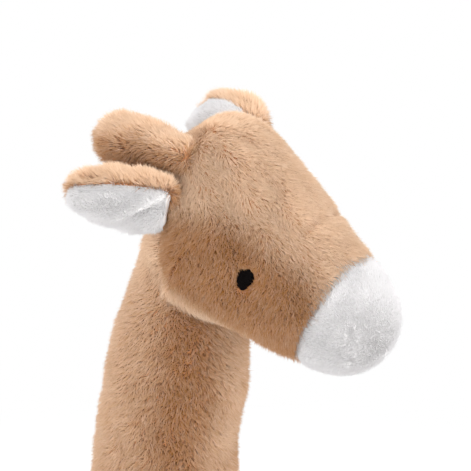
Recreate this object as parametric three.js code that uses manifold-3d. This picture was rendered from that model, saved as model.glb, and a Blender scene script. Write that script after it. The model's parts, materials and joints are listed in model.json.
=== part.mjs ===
// A plush giraffe that stands on four stuffed legs: tan pile covers over stuffing, a white muzzle,
// white ear linings, soft horns with round knobs, stitched eyes and a tufted tail.
// Millimetres, +Z up. The giraffe looks along +X, so its right side is -Y.
import * as THREE from 'three';
import { mergeVertices } from 'three/addons/utils/BufferGeometryUtils.js';
import Module from 'manifold-3d';

const wasm = await Module();
wasm.setup();

// Cloth and clearances
const COVER_WALL = 3;            // backing cloth and half its pile
const FIT = 0.3;                 // between pieces that are sewn or packed together
const SWING_FIT = 0.5;           // between pieces that move on each other

// Head, measured from the middle of the crown along its own long axis
const HEAD_PITCH = 32.5;         // degrees that the head looks down
const HEAD_HEIGHT = 341;         // of the middle of the crown above the floor
const HEAD_BACK = 26;            // from the middle of the crown to the back of the head
const CROWN_REACH = -4;          // where the head is largest, along its axis
const CROWN_HALF_HEIGHT = 35.3;
const CROWN_HALF_WIDTH = 26.5;
const HEAD_REACH = 54;           // from the crown to the middle of the round muzzle
const MUZZLE_RADIUS = 15.7;
const CROWN_RISE = 3.2;          // of the crown's rings above the head's axis
const MUZZLE_RISE = 2.8;         // of the muzzle above the head's axis
const BRIDGE_SLOPE = 0.33;       // how fast the head narrows where it meets the muzzle
const MUZZLE_SEAM = 44.5;        // from the crown to the seam of the white muzzle
const SEAM_SLANT = 6;            // degrees that the seam's top leans back
const NOD_LIMIT = 12;            // degrees each way
const NOD_DROP = 6;              // of the nod's axis below the crown's middle

// Eyes, stitched on the head's sides
const EYE_REACH = 21.2;          // from the crown
const EYE_RISE = 5.5;
const EYE_WIDTH = 5;
const EYE_HEIGHT = 8;
const EYE_TILT = 20;             // degrees that the top leans back
const EYE_THICKNESS = 0.9;

// Ears, each a plump leaf of two layers
const EAR_LENGTH = 35;
const EAR_WIDTH = 27;
const EAR_ROOT_WIDTH = 14;
const EAR_ROOT_THICKNESS = 7;
const EAR_SINK = 4;              // of the root's end below the head's surface, before the cut
const EAR_FULLNESS = 0.5;        // 1 for a slim leaf, less for a plump one
const EAR_BIAS = 0.85;           // below 1 the widest place moves towards the root
const EAR_SIDES = 16;
const EAR_RINGS = 8;
// How each ear lies: its root from the crown, then degrees back from straight sideways, up, the
// lining's turn from facing down towards facing inwards, and how far it flaps towards its lining
// and towards its back
const EAR_LIE = {
  right: { reach: -11.5, rise: 7.3, back: 56, up: 8, roll: -42, thickness: 20, swing: [-25, 3] },
  left: { reach: -12, rise: 21, back: 66, up: 0, roll: 84, thickness: 15, swing: [-2, 25] },
};

// Horns, each a stem with a round knob
const HORN_LENGTH = 25;          // from the root to the middle of the knob
const HORN_KNOB_RADIUS = 8.3;
const HORN_STEM_RADIUS = 5.6;
const HORN_ROOT_REACH = -18.7;
const HORN_ROOT_SIDE = 10.6;
const HORN_SINK = 5;             // of the stem's end below the head's surface, before the cut
const HORN_LIMITS = [-2, 25];    // degrees, down and up
// How each horn lies: its root above the head's axis, then degrees above level, and inwards from
// straight back
const HORN_LIE = {
  right: { rise: 16.2, up: 8, inwards: 0 },
  left: { rise: 11.5, up: 4, inwards: 10 },
};

// Neck
const NECK_TOP_RADIUS = 16.5;
const NECK_MIDDLE_RADIUS = 23.5;
const NECK_BASE_RADIUS = 33;
const NECK_FLARE = 2.4;          // how late the neck widens towards the chest
const NECK_TOP_BACK = 15;        // of the neck's top behind the crown
const NECK_LEAN = 5.3;           // degrees from upright, towards the back on the way down
const NECK_TOP_DROP = 12;        // of the neck's end below the crown
const NECK_MIDDLE_DROP = 52;     // of the place with the middle radius below the neck's end

// Body
const BODY_LENGTH = 148;
const BODY_HEIGHT = 152;         // of its middle above the floor
const RUMP_RADIUS = 38;
const WAIST_RADIUS = 36;
const CHEST_RADIUS = 40;
const BODY_FLATNESS = 0.93;      // its width as a share of its height
const CHEST_RISE = 8;            // of the chest above the rump
const NECK_BASE_REACH = 34;      // of the neck's base in front of the body's middle

// Legs
const HIP_HEIGHT = 127;
const HIP_REACH = 45;            // in front of and behind the body's middle
const HIP_SIDE = 19;
const HIP_RADIUS = 17;
const THIGH_RADIUS = 16;
const SHIN_RADIUS = 14;
const SHIN_HEIGHT = 55;          // of the slimmest place above the floor
const FOOT_RADIUS = 17;
const FOOT_HEIGHT = 16;
const SOLE_THICKNESS = 3;
const SOLE_INSET = 1.5;          // of the sole's rim inside the foot
const LEG_OUTWARD_LIMIT = 25;    // degrees that a leg swings away from the other pair
const LEG_INWARD_LIMIT = 12;     // degrees towards the other pair

// Tail
const TAIL_LENGTH = 62;
const TAIL_RADIUS = 3.6;
const TAIL_ROOT_RISE = 12;       // above the middle of the rump
const TUFT_LENGTH = 26;
const TUFT_RADIUS = 7;

// How finely the skins and the stuffing inside them are cut into facets
const SKIN = { sides: 20, headBack: 4, headFront: 6, headMuzzle: 4, bodyEnd: 4, bodyMiddle: 5, neck: 8 };
const CORE = { sides: 10, headBack: 3, headFront: 5, headMuzzle: 3, bodyEnd: 3, bodyMiddle: 4, neck: 5 };
const LIMB_SIDES = 16;
const LIMB_CORE_SIDES = 8;
const SWING_STEP = 7;            // degrees between the places where a moving piece is cut clear

const SIDES = { left: 1, right: -1 };
const LEG_ENDS = { front: 1, rear: -1 };

const TAN = new THREE.MeshStandardMaterial({ color: 0xcda582, roughness: 0.95, metalness: 0 });
const WHITE = new THREE.MeshStandardMaterial({ color: 0xe9e7e8, roughness: 0.95, metalness: 0 });
const BLACK = new THREE.MeshStandardMaterial({ color: 0x17130f, roughness: 0.6, metalness: 0 });
const FIBRE = new THREE.MeshStandardMaterial({ color: 0xf4f4f2, roughness: 1, metalness: 0 });

const rad = THREE.MathUtils.degToRad;
const Y = new THREE.Vector3(0, 1, 0);
const Z = new THREE.Vector3(0, 0, 1);

// Solids

function solid(geometry) {
  const bare = geometry.clone();
  bare.deleteAttribute('normal');
  bare.deleteAttribute('uv');
  const merged = mergeVertices(bare, 1e-4);
  return new wasm.Manifold(new wasm.Mesh({
    numProp: 3,
    vertProperties: Float32Array.from(merged.attributes.position.array),
    triVerts: Uint32Array.from(merged.index.array),
  }));
}

function geometryOf(manifold) {
  const mesh = manifold.getMesh();
  const geometry = new THREE.BufferGeometry();
  geometry.setAttribute('position', new THREE.Float32BufferAttribute(mesh.vertProperties, 3));
  geometry.setIndex(new THREE.BufferAttribute(mesh.triVerts, 1));
  geometry.computeVertexNormals();
  return geometry;
}

function placed(manifold, matrix) {
  return solid(geometryOf(manifold).applyMatrix4(matrix));
}

function turnAbout(point, axis, degrees) {
  const matrix = new THREE.Matrix4().makeTranslation(point.x, point.y, point.z);
  matrix.multiply(new THREE.Matrix4().makeRotationAxis(axis, rad(degrees)));
  return matrix.multiply(new THREE.Matrix4().makeTranslation(-point.x, -point.y, -point.z));
}

// A closed skin over rings, each a middle, two half sizes and the directions that they lie in,
// with a point at either end.
function loft(start, rings, end, sides) {
  const positions = [start.x, start.y, start.z];
  for (const ring of rings) {
    for (let k = 0; k < sides; k += 1) {
      const angle = (2 * Math.PI * k) / sides;
      const point = ring.middle.clone()
        .addScaledVector(ring.wide, ring.halfWidth * Math.cos(angle))
        .addScaledVector(ring.high, ring.halfHeight * Math.sin(angle));
      positions.push(point.x, point.y, point.z);
    }
  }
  positions.push(end.x, end.y, end.z);
  const last = positions.length / 3 - 1;
  const faces = [];
  for (let k = 0; k < sides; k += 1) {
    const next = (k + 1) % sides;
    faces.push(0, 1 + next, 1 + k);
    for (let j = 0; j < rings.length - 1; j += 1) {
      const near = 1 + j * sides;
      const far = near + sides;
      faces.push(near + k, near + next, far + k, near + next, far + next, far + k);
    }
    faces.push(last, last - sides + k, last - sides + next);
  }
  const geometry = new THREE.BufferGeometry();
  geometry.setAttribute('position', new THREE.Float32BufferAttribute(positions, 3));
  geometry.setIndex(faces);
  return solid(geometry);
}

// A smooth change from one size to another, level at its start and with a given slope at its end.
function easedSize(from, to, share, endSlope, span) {
  const square = share * share;
  const cube = square * share;
  return from * (2 * cube - 3 * square + 1) + to * (3 * square - 2 * cube) + endSlope * span * (cube - square);
}

function dome(share) {
  return Math.sqrt(Math.max(0, 1 - share * share));
}

// Head frame: forward along the head's axis, up square to it

const FORWARD = new THREE.Vector3(1, 0, 0).applyAxisAngle(Y, rad(HEAD_PITCH));
const UP = new THREE.Vector3(0, 0, 1).applyAxisAngle(Y, rad(HEAD_PITCH));
const neckRun = HEAD_HEIGHT - BODY_HEIGHT;
const CROWN = new THREE.Vector3(
  NECK_BASE_REACH + neckRun * Math.tan(rad(NECK_LEAN)) + NECK_TOP_BACK, 0, HEAD_HEIGHT);

function onHead(reach, side, rise) {
  return CROWN.clone().addScaledVector(FORWARD, reach).addScaledVector(Y, side).addScaledVector(UP, rise);
}

// The middle of the head's rings above its axis
function headRise(reach) {
  return THREE.MathUtils.lerp(CROWN_RISE, MUZZLE_RISE, THREE.MathUtils.clamp(reach / HEAD_REACH, 0, 1));
}

// The head's form, grown or shrunk by some millimetres all round.
function headForm(grow, detail) {
  const joinAngle = Math.atan(BRIDGE_SLOPE);
  const muzzle = MUZZLE_RADIUS + grow;
  const joinReach = HEAD_REACH + muzzle * Math.sin(joinAngle);
  const joinSize = muzzle * Math.cos(joinAngle);
  const high = CROWN_HALF_HEIGHT + grow;
  const wide = CROWN_HALF_WIDTH + grow;
  const back = HEAD_BACK + CROWN_REACH + grow;
  const frontRun = joinReach - CROWN_REACH;
  const rings = [];
  const addRing = (reach, halfWidth, halfHeight) => {
    const rise = headRise(reach);
    rings.push({ middle: onHead(reach, 0, rise), wide: Y, high: UP, halfWidth, halfHeight });
  };
  for (let k = 1; k <= detail.headBack; k += 1) {
    const angle = (Math.PI / 2) * (k / detail.headBack);
    addRing(CROWN_REACH - back * Math.cos(angle), wide * Math.sin(angle), high * Math.sin(angle));
  }
  for (let k = 1; k <= detail.headFront; k += 1) {
    const share = k / detail.headFront;
    const halfWidth = easedSize(wide, joinSize, share, -BRIDGE_SLOPE, frontRun);
    const halfHeight = easedSize(high, joinSize, share, -BRIDGE_SLOPE, frontRun);
    addRing(CROWN_REACH + frontRun * share, halfWidth, halfHeight);
  }
  for (let k = 1; k < detail.headMuzzle; k += 1) {
    const angle = joinAngle + (Math.PI / 2 - joinAngle) * (k / detail.headMuzzle);
    addRing(HEAD_REACH + muzzle * Math.sin(angle), muzzle * Math.cos(angle), muzzle * Math.cos(angle));
  }
  const tip = onHead(HEAD_REACH + muzzle, 0, MUZZLE_RISE);
  return loft(onHead(CROWN_REACH - back, 0, CROWN_RISE), rings, tip, detail.sides);
}

// How far the head's surface lies to the side of its middle plane.
function headSideAt(reach, rise) {
  const share = Math.max(0, (CROWN_REACH - reach) / (HEAD_BACK + CROWN_REACH));
  const run = HEAD_REACH - CROWN_REACH;
  const along = THREE.MathUtils.clamp((reach - CROWN_REACH) / run, 0, 1);
  const wide = easedSize(CROWN_HALF_WIDTH, MUZZLE_RADIUS, along, -BRIDGE_SLOPE, run) * dome(share);
  const high = easedSize(CROWN_HALF_HEIGHT, MUZZLE_RADIUS, along, -BRIDGE_SLOPE, run) * dome(share);
  return wide * dome((rise - headRise(reach)) / high);
}

// Everything in front of the muzzle's seam, moved forward by some millimetres, as a big block
function aheadOfSeam(offset) {
  const size = 4 * CROWN_HALF_HEIGHT;
  const block = new THREE.BoxGeometry(size, size, size);
  block.translate(size / 2, 0, 0).rotateY(rad(-SEAM_SLANT));
  const matrix = new THREE.Matrix4().makeBasis(FORWARD, Y, UP).setPosition(onHead(MUZZLE_SEAM + offset, 0, 0));
  return solid(block.applyMatrix4(matrix));
}

// Body form, with a rump, a waist and a higher chest
function bodyForm(grow, detail) {
  const rump = RUMP_RADIUS + grow;
  const chest = CHEST_RADIUS + grow;
  const waist = WAIST_RADIUS + grow;
  const rumpX = -BODY_LENGTH / 2 + RUMP_RADIUS;
  const chestX = BODY_LENGTH / 2 - CHEST_RADIUS;
  const heightAt = (x) => BODY_HEIGHT + CHEST_RISE * (x / BODY_LENGTH);
  const rings = [];
  const addRing = (x, radius) => rings.push({
    middle: new THREE.Vector3(x, 0, heightAt(x)),
    wide: Y,
    high: Z,
    halfWidth: radius * BODY_FLATNESS,
    halfHeight: radius,
  });
  for (let k = 1; k <= detail.bodyEnd; k += 1) {
    const angle = (Math.PI / 2) * (k / detail.bodyEnd);
    addRing(rumpX - rump * Math.cos(angle), rump * Math.sin(angle));
  }
  for (let k = 1; k < detail.bodyMiddle; k += 1) {
    const share = k / detail.bodyMiddle;
    const radius = share < 0.5
      ? easedSize(rump, waist, share * 2, 0, 0)
      : easedSize(waist, chest, share * 2 - 1, 0, 0);
    addRing(rumpX + (chestX - rumpX) * share, radius);
  }
  for (let k = 0; k < detail.bodyEnd; k += 1) {
    const angle = (Math.PI / 2) * (k / detail.bodyEnd);
    addRing(chestX + chest * Math.sin(angle), chest * Math.cos(angle));
  }
  const rear = new THREE.Vector3(rumpX - rump, 0, heightAt(rumpX - rump));
  const front = new THREE.Vector3(chestX + chest, 0, heightAt(chestX + chest));
  return loft(rear, rings, front, detail.sides);
}

// Neck form, from inside the chest to behind the crown
function neckForm(grow, detail) {
  const top = CROWN.clone().add(new THREE.Vector3(-NECK_TOP_BACK, 0, -NECK_TOP_DROP));
  const base = new THREE.Vector3(NECK_BASE_REACH, 0, BODY_HEIGHT);
  const middleShare = NECK_MIDDLE_DROP / (top.z - base.z);
  const run = new THREE.Vector3().subVectors(base, top);
  const high = new THREE.Vector3().crossVectors(run, Y).normalize();
  const radiusAt = (share) => (share < middleShare
    ? easedSize(NECK_TOP_RADIUS, NECK_MIDDLE_RADIUS, Math.sqrt(share / middleShare), 0, 0)
    : NECK_MIDDLE_RADIUS + (NECK_BASE_RADIUS - NECK_MIDDLE_RADIUS)
      * ((share - middleShare) / (1 - middleShare)) ** NECK_FLARE) + grow;
  const rings = [];
  for (let k = 0; k <= detail.neck; k += 1) {
    const share = k / detail.neck;
    const radius = radiusAt(share);
    rings.push({
      middle: top.clone().addScaledVector(run, share), wide: Y, high, halfWidth: radius, halfHeight: radius,
    });
  }
  const along = run.clone().normalize();
  const start = top.clone().addScaledVector(along, -(NECK_TOP_RADIUS + grow) * 0.5);
  const end = base.clone().addScaledVector(along, 1);
  return loft(start, rings, end, detail.sides);
}

// Leg form, a round hip over a slimmer thigh and shin and a wider foot, turned about its own axis
function legForm(grow, sides, bottom) {
  const hip = HIP_RADIUS + grow;
  const thigh = THIGH_RADIUS + grow;
  const shin = SHIN_RADIUS + grow;
  const foot = FOOT_RADIUS + grow;
  const profile = [];
  const domeSteps = 7;
  const domeEnd = Math.PI - Math.asin(thigh / hip);
  for (let k = 0; k <= domeSteps; k += 1) {
    const angle = (domeEnd * k) / domeSteps;
    profile.push(new THREE.Vector2(hip * Math.sin(angle), HIP_HEIGHT + hip * Math.cos(angle)));
  }
  const thighHeight = HIP_HEIGHT + hip * Math.cos(domeEnd);
  for (const share of [0.5, 1]) {
    const height = thighHeight + (SHIN_HEIGHT - thighHeight) * share;
    profile.push(new THREE.Vector2(easedSize(thigh, shin, share, 0, 0), height));
  }
  for (const share of [0.5, 1]) {
    const height = SHIN_HEIGHT + (FOOT_HEIGHT - SHIN_HEIGHT) * share;
    profile.push(new THREE.Vector2(easedSize(shin, foot, share, 0, 0), height));
  }
  profile.push(new THREE.Vector2(foot - SOLE_INSET / 2, (FOOT_HEIGHT + SOLE_THICKNESS) / 2));
  profile.push(new THREE.Vector2(foot - SOLE_INSET, bottom));
  profile.push(new THREE.Vector2(0, bottom));
  profile.reverse();
  profile[profile.length - 1].x = 0;
  return solid(new THREE.LatheGeometry(profile, sides).rotateX(Math.PI / 2));
}

// Cuts a moving piece clear of a fixed one at rest and through its swing.
function clearOf(piece, fixed, pivot, axis, limits) {
  let cut = piece;
  const count = Math.ceil((limits[1] - limits[0]) / SWING_STEP);
  for (let k = 0; k <= count; k += 1) {
    const degrees = limits[0] + ((limits[1] - limits[0]) * k) / count;
    cut = cut.subtract(placed(fixed, turnAbout(pivot, axis, -degrees)));
  }
  return cut;
}

const giraffe = new THREE.Group();

function add(name, manifold, material) {
  const mesh = new THREE.Mesh(geometryOf(manifold), material);
  mesh.name = name;
  giraffe.add(mesh);
}

const NOD_PIVOT = onHead(0, 0, -NOD_DROP);
const headRoom = headForm(SWING_FIT, SKIN);
const bodyHollow = bodyForm(-COVER_WALL, CORE);
const neckHollow = neckForm(-COVER_WALL, CORE);

function buildHead() {
  const shell = headForm(0, SKIN).subtract(headForm(-COVER_WALL, CORE));
  add('head_cover', shell.subtract(aheadOfSeam(0)), TAN);
  add('muzzle_cover', shell.intersect(aheadOfSeam(FIT)), WHITE);
  add('head_stuffing', headForm(-COVER_WALL - FIT, CORE), FIBRE);
}

function buildEye(name, side) {
  const outline = new THREE.Shape();
  outline.moveTo(0, EYE_HEIGHT / 2);
  outline.quadraticCurveTo(EYE_WIDTH, 0, 0, -EYE_HEIGHT / 2);
  outline.quadraticCurveTo(-EYE_WIDTH, 0, 0, EYE_HEIGHT / 2);
  const prism = new THREE.ExtrudeGeometry(outline, {
    depth: CROWN_HALF_WIDTH, bevelEnabled: false, curveSegments: 8,
  });
  const across = FORWARD.clone().applyAxisAngle(Y, rad(-EYE_TILT)).multiplyScalar(-side);
  const high = UP.clone().applyAxisAngle(Y, rad(-EYE_TILT));
  const out = new THREE.Vector3().crossVectors(across, high);
  const matrix = new THREE.Matrix4().makeBasis(across, high, out);
  matrix.setPosition(onHead(EYE_REACH, 0, EYE_RISE));
  const column = solid(prism.applyMatrix4(matrix));
  const skin = headForm(FIT + EYE_THICKNESS, SKIN).subtract(headForm(FIT, SKIN));
  add(name, column.intersect(skin), BLACK);
}

// The directions of an ear: along it, across it and out of its lining
function earFrame(sideName) {
  const side = SIDES[sideName];
  const lie = EAR_LIE[sideName];
  const along = new THREE.Vector3(
    -Math.sin(rad(lie.back)) * Math.cos(rad(lie.up)),
    side * Math.cos(rad(lie.back)) * Math.cos(rad(lie.up)),
    Math.sin(rad(lie.up)));
  const level = new THREE.Vector3().crossVectors(Z, along).normalize().multiplyScalar(side);
  const down = new THREE.Vector3().crossVectors(along, level).normalize().multiplyScalar(-side);
  if (down.z > 0) down.negate();
  const lining = down.clone().multiplyScalar(Math.cos(rad(lie.roll)))
    .addScaledVector(level, Math.sin(rad(lie.roll)));
  const across = new THREE.Vector3().crossVectors(lining, along).normalize();
  const root = onHead(lie.reach, side * headSideAt(lie.reach, lie.rise), lie.rise);
  return { along, across, lining, root };
}

function buildEar(sideName) {
  const { along, across, lining, root } = earFrame(sideName);
  const { thickness, swing } = EAR_LIE[sideName];
  const start = root.clone().addScaledVector(along, -EAR_SINK);
  const length = EAR_LENGTH + EAR_SINK;
  const rings = [];
  for (let k = 1; k < EAR_RINGS; k += 1) {
    const share = k / EAR_RINGS;
    const swell = Math.sin(Math.PI * share ** EAR_BIAS) ** EAR_FULLNESS;
    const nearRoot = share < 0.5 ? 1 : 0;
    rings.push({
      middle: start.clone().addScaledVector(along, length * share),
      wide: across,
      high: lining,
      halfWidth: Math.max(EAR_WIDTH * swell, EAR_ROOT_WIDTH * nearRoot) / 2,
      halfHeight: Math.max(thickness * swell, EAR_ROOT_THICKNESS * nearRoot) / 2,
    });
  }
  const tip = start.clone().addScaledVector(along, length);
  const leaf = clearOf(loft(start, rings, tip, EAR_SIDES), headRoom, root, across, swing);
  const block = new THREE.BoxGeometry(4 * length, 4 * length, 4 * length).translate(0, 0, 2 * length);
  const onLiningSide = (offset) => solid(block.clone().applyMatrix4(
    new THREE.Matrix4().makeBasis(along, across, new THREE.Vector3().crossVectors(along, across))
      .setPosition(root.clone().addScaledVector(lining, offset))));
  add(`ear_lining_${sideName}`, leaf.intersect(onLiningSide(FIT / 2)), WHITE);
  add(`ear_back_${sideName}`, leaf.subtract(onLiningSide(-FIT / 2)), TAN);
}

function buildHorn(sideName) {
  const side = SIDES[sideName];
  const lie = HORN_LIE[sideName];
  const along = new THREE.Vector3(
    -Math.cos(rad(lie.up)) * Math.cos(rad(lie.inwards)),
    -side * Math.sin(rad(lie.inwards)),
    Math.sin(rad(lie.up)));
  const wide = new THREE.Vector3().crossVectors(Z, along).normalize();
  const high = new THREE.Vector3().crossVectors(along, wide);
  const root = onHead(HORN_ROOT_REACH, side * HORN_ROOT_SIDE, lie.rise);
  const start = root.clone().addScaledVector(along, -HORN_SINK);
  const form = (grow, sides) => {
    const knob = HORN_KNOB_RADIUS + grow;
    const stem = HORN_STEM_RADIUS + grow;
    const rings = [];
    const addRing = (reach, radius) => rings.push({
      middle: start.clone().addScaledVector(along, HORN_SINK + reach),
      wide,
      high,
      halfWidth: radius,
      halfHeight: radius,
    });
    addRing(-0.8 * HORN_SINK, 0.8 * stem);
    addRing(0, stem);
    for (const share of [0.3, 0.6, 1]) {
      addRing(HORN_LENGTH * share, easedSize(stem, knob, share, 0, 0));
    }
    for (const share of [0.5, 0.8]) {
      addRing(HORN_LENGTH + knob * share, knob * dome(share));
    }
    return loft(start, rings, root.clone().addScaledVector(along, HORN_LENGTH + knob), sides);
  };
  const clear = (piece) => clearOf(piece, headRoom, root, wide.clone().negate(), HORN_LIMITS);
  const hollow = form(-COVER_WALL, CORE.sides);
  add(`horn_cover_${sideName}`, clear(form(0, LIMB_SIDES)).subtract(hollow), TAN);
  add(`horn_stuffing_${sideName}`, clear(form(-COVER_WALL - FIT, CORE.sides)), FIBRE);
}

function buildNeck() {
  const clear = (piece) => clearOf(piece, headRoom, NOD_PIVOT, Y, [-NOD_LIMIT, NOD_LIMIT]);
  const shell = neckForm(0, SKIN).subtract(neckHollow);
  const core = neckForm(-COVER_WALL - FIT, CORE);
  add('neck_cover', clear(shell).subtract(bodyForm(FIT, SKIN)), TAN);
  add('neck_stuffing', clear(core).subtract(bodyHollow), FIBRE);
}

// A leg's place, from the turned form at the origin
function legPlace(end, side) {
  return new THREE.Matrix4().makeTranslation(end * HIP_REACH, side * HIP_SIDE, 0);
}

// The room in the body for a hip and for its thigh at rest and at both ends of its swing
function hipSocket(end, side) {
  const middle = new THREE.Vector3(end * HIP_REACH, side * HIP_SIDE, HIP_HEIGHT);
  const ball = new THREE.SphereGeometry(HIP_RADIUS + SWING_FIT, LIMB_SIDES, 10).rotateX(Math.PI / 2);
  let socket = solid(ball.translate(middle.x, middle.y, middle.z));
  const depth = 1.5 * HIP_RADIUS;
  for (const degrees of [-LEG_OUTWARD_LIMIT, -LEG_OUTWARD_LIMIT / 2, 0, LEG_INWARD_LIMIT]) {
    const thigh = new THREE.CylinderGeometry(
      THIGH_RADIUS + SWING_FIT, THIGH_RADIUS + SWING_FIT, depth, LIMB_SIDES);
    thigh.rotateX(Math.PI / 2).translate(middle.x, middle.y, middle.z - depth / 2);
    socket = socket.add(placed(solid(thigh), turnAbout(middle, Y, degrees * end)));
  }
  return socket;
}

function buildBody() {
  let cover = bodyForm(0, SKIN).subtract(bodyHollow).subtract(neckHollow);
  let core = bodyForm(-COVER_WALL - FIT, CORE);
  for (const end of Object.values(LEG_ENDS)) {
    for (const side of Object.values(SIDES)) {
      cover = cover.subtract(hipSocket(end, side));
      core = core.subtract(hipSocket(end, side));
    }
  }
  add('body_cover', cover, TAN);
  add('body_stuffing', core, FIBRE);
}

function buildLeg(endName, sideName) {
  const name = `${endName}_${sideName}`;
  const place = legPlace(LEG_ENDS[endName], SIDES[sideName]);
  const outer = legForm(0, LIMB_SIDES, SOLE_THICKNESS + FIT);
  const inner = legForm(-COVER_WALL, LIMB_CORE_SIDES, 0);
  const core = legForm(-COVER_WALL - FIT, LIMB_CORE_SIDES, SOLE_THICKNESS + FIT);
  add(`leg_cover_${name}`, placed(outer.subtract(inner), place), TAN);
  add(`leg_stuffing_${name}`, placed(core, place), FIBRE);
  const sole = new THREE.CylinderGeometry(
    FOOT_RADIUS - SOLE_INSET, FOOT_RADIUS - 2 * SOLE_INSET, SOLE_THICKNESS, LIMB_SIDES);
  sole.rotateX(Math.PI / 2).translate(0, 0, SOLE_THICKNESS / 2);
  add(`sole_${name}`, placed(solid(sole), place), TAN);
}

function buildTail() {
  const root = new THREE.Vector3(
    -BODY_LENGTH / 2 - TAIL_RADIUS - SWING_FIT,
    0,
    BODY_HEIGHT - CHEST_RISE / 2 + TAIL_ROOT_RISE);
  const below = (drop) => new THREE.Vector3(root.x, 0, root.z - drop);
  const ring = (drop, radius) => ({
    middle: below(drop),
    wide: new THREE.Vector3(1, 0, 0),
    high: Y.clone().negate(),
    halfWidth: radius,
    halfHeight: radius,
  });
  const tuftStart = TAIL_LENGTH - TUFT_LENGTH;
  const cordEnd = tuftStart - FIT;
  const cord = loft(below(-TAIL_RADIUS), [
    ring(-TAIL_RADIUS * 0.7, TAIL_RADIUS * 0.7),
    ring(0, TAIL_RADIUS),
    ring(cordEnd - 1, TAIL_RADIUS * 0.8),
  ], below(cordEnd), CORE.sides);
  const tuft = loft(below(tuftStart), [
    ring(tuftStart + 1.5, TAIL_RADIUS),
    ring(tuftStart + TUFT_LENGTH * 0.3, TUFT_RADIUS * 0.9),
    ring(tuftStart + TUFT_LENGTH * 0.6, TUFT_RADIUS),
    ring(tuftStart + TUFT_LENGTH * 0.88, TUFT_RADIUS * 0.55),
  ], below(TAIL_LENGTH), LIMB_SIDES);
  add('tail_cord', cord, TAN);
  add('tail_tuft', tuft, WHITE);
}

buildHead();
for (const sideName of Object.keys(SIDES)) {
  buildEye(`eye_${sideName}`, SIDES[sideName]);
  buildEar(sideName);
  buildHorn(sideName);
}
buildNeck();
buildBody();
for (const endName of Object.keys(LEG_ENDS)) {
  for (const sideName of Object.keys(SIDES)) {
    buildLeg(endName, sideName);
  }
}
buildTail();

// The origin lies on the floor under the middle of the whole toy.
const reach = new THREE.Box3().setFromObject(giraffe);
giraffe.position.set(-(reach.min.x + reach.max.x) / 2, -(reach.min.y + reach.max.y) / 2, -reach.min.z);

export default giraffe;
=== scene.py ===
"""A plush giraffe with tan pile, a white muzzle, white ear linings, soft horns and stitched eyes."""

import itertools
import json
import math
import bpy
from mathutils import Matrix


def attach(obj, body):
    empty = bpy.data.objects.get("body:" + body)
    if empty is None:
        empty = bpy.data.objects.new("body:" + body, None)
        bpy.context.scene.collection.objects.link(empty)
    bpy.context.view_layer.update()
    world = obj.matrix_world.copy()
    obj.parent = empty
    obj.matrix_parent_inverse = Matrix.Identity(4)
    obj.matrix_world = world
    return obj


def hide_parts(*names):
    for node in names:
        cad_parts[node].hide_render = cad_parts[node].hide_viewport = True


bl_info = {
    "name": "Plush giraffe",
    "version": (1, 0, 0),
    "blender": (4, 5, 0),
    "location": "View3D > Sidebar > Giraffe",
    "description": "Sews the skins of a plush giraffe and grows its pile",
    "category": "Object",
}

import bpy
import numpy as np
from mathutils import Matrix, Vector

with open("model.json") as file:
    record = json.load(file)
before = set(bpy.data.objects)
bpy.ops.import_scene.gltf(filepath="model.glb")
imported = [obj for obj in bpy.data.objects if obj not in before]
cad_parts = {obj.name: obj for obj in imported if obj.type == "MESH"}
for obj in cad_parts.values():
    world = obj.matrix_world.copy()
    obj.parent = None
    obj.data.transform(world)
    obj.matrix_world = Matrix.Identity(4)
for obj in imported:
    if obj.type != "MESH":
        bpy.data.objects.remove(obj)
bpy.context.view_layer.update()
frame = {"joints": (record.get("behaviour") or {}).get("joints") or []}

MM = 0.001
JOINTS = {joint["name"]: np.array(joint["pos_m"]) for joint in frame["joints"]}
SIDES = {"left": 1, "right": -1}
ENDS = ("front", "rear")
X, Y, Z = np.eye(3)

# The head's own directions and the middle of its crown, which lies above the nod's axis
HEAD_PITCH = math.radians(32.5)
FORWARD = np.array([math.cos(HEAD_PITCH), 0, -math.sin(HEAD_PITCH)])
UP = np.array([math.sin(HEAD_PITCH), 0, math.cos(HEAD_PITCH)])
NOD_DROP = 6 * MM
CROWN = JOINTS["nod"] + NOD_DROP * UP

# How far each skin lies inside the finished outline, which the pile fills up again
SKIN_INSET = 2.6 * MM

# The cloth that each piece is sewn from, and its slot
TAN = {"pile": "Tan pile", "backing": "Tan backing", "slot": "tan_plush"}
FELT = {"pile": "Tan pile", "backing": "Tan felt", "slot": "tan_plush"}
WHITE = {"pile": "White pile", "backing": "White backing", "slot": "white_plush"}
THREAD = {"backing": "Black thread", "slot": "black_thread"}


# Sizes and colours that a user would change


def length_property(name, description, default):
    return bpy.props.FloatProperty(name=name, description=description, default=default, unit="LENGTH")


def colour_property(name, description, default):
    return bpy.props.FloatVectorProperty(name=name, description=description, default=default, subtype="COLOR")


class GiraffeSizes(bpy.types.PropertyGroup):
    pile_length: length_property("Pile", "Length of the tan pile", 3.7 * MM)
    muzzle_pile: length_property("Muzzle pile", "Length of the white pile on the muzzle", 2.1 * MM)
    tuft_length: length_property("Tuft pile", "Length of the pile on the tail's tuft", 9 * MM)
    strand_width: length_property("Strand", "Width of a lock of pile at its root", 0.36 * MM)
    lock_size: length_property("Lock", "Distance between the places that the pile gathers to", 1.0 * MM)
    eye_height: length_property("Eye", "Height of a stitched eye", 8 * MM)


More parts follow.
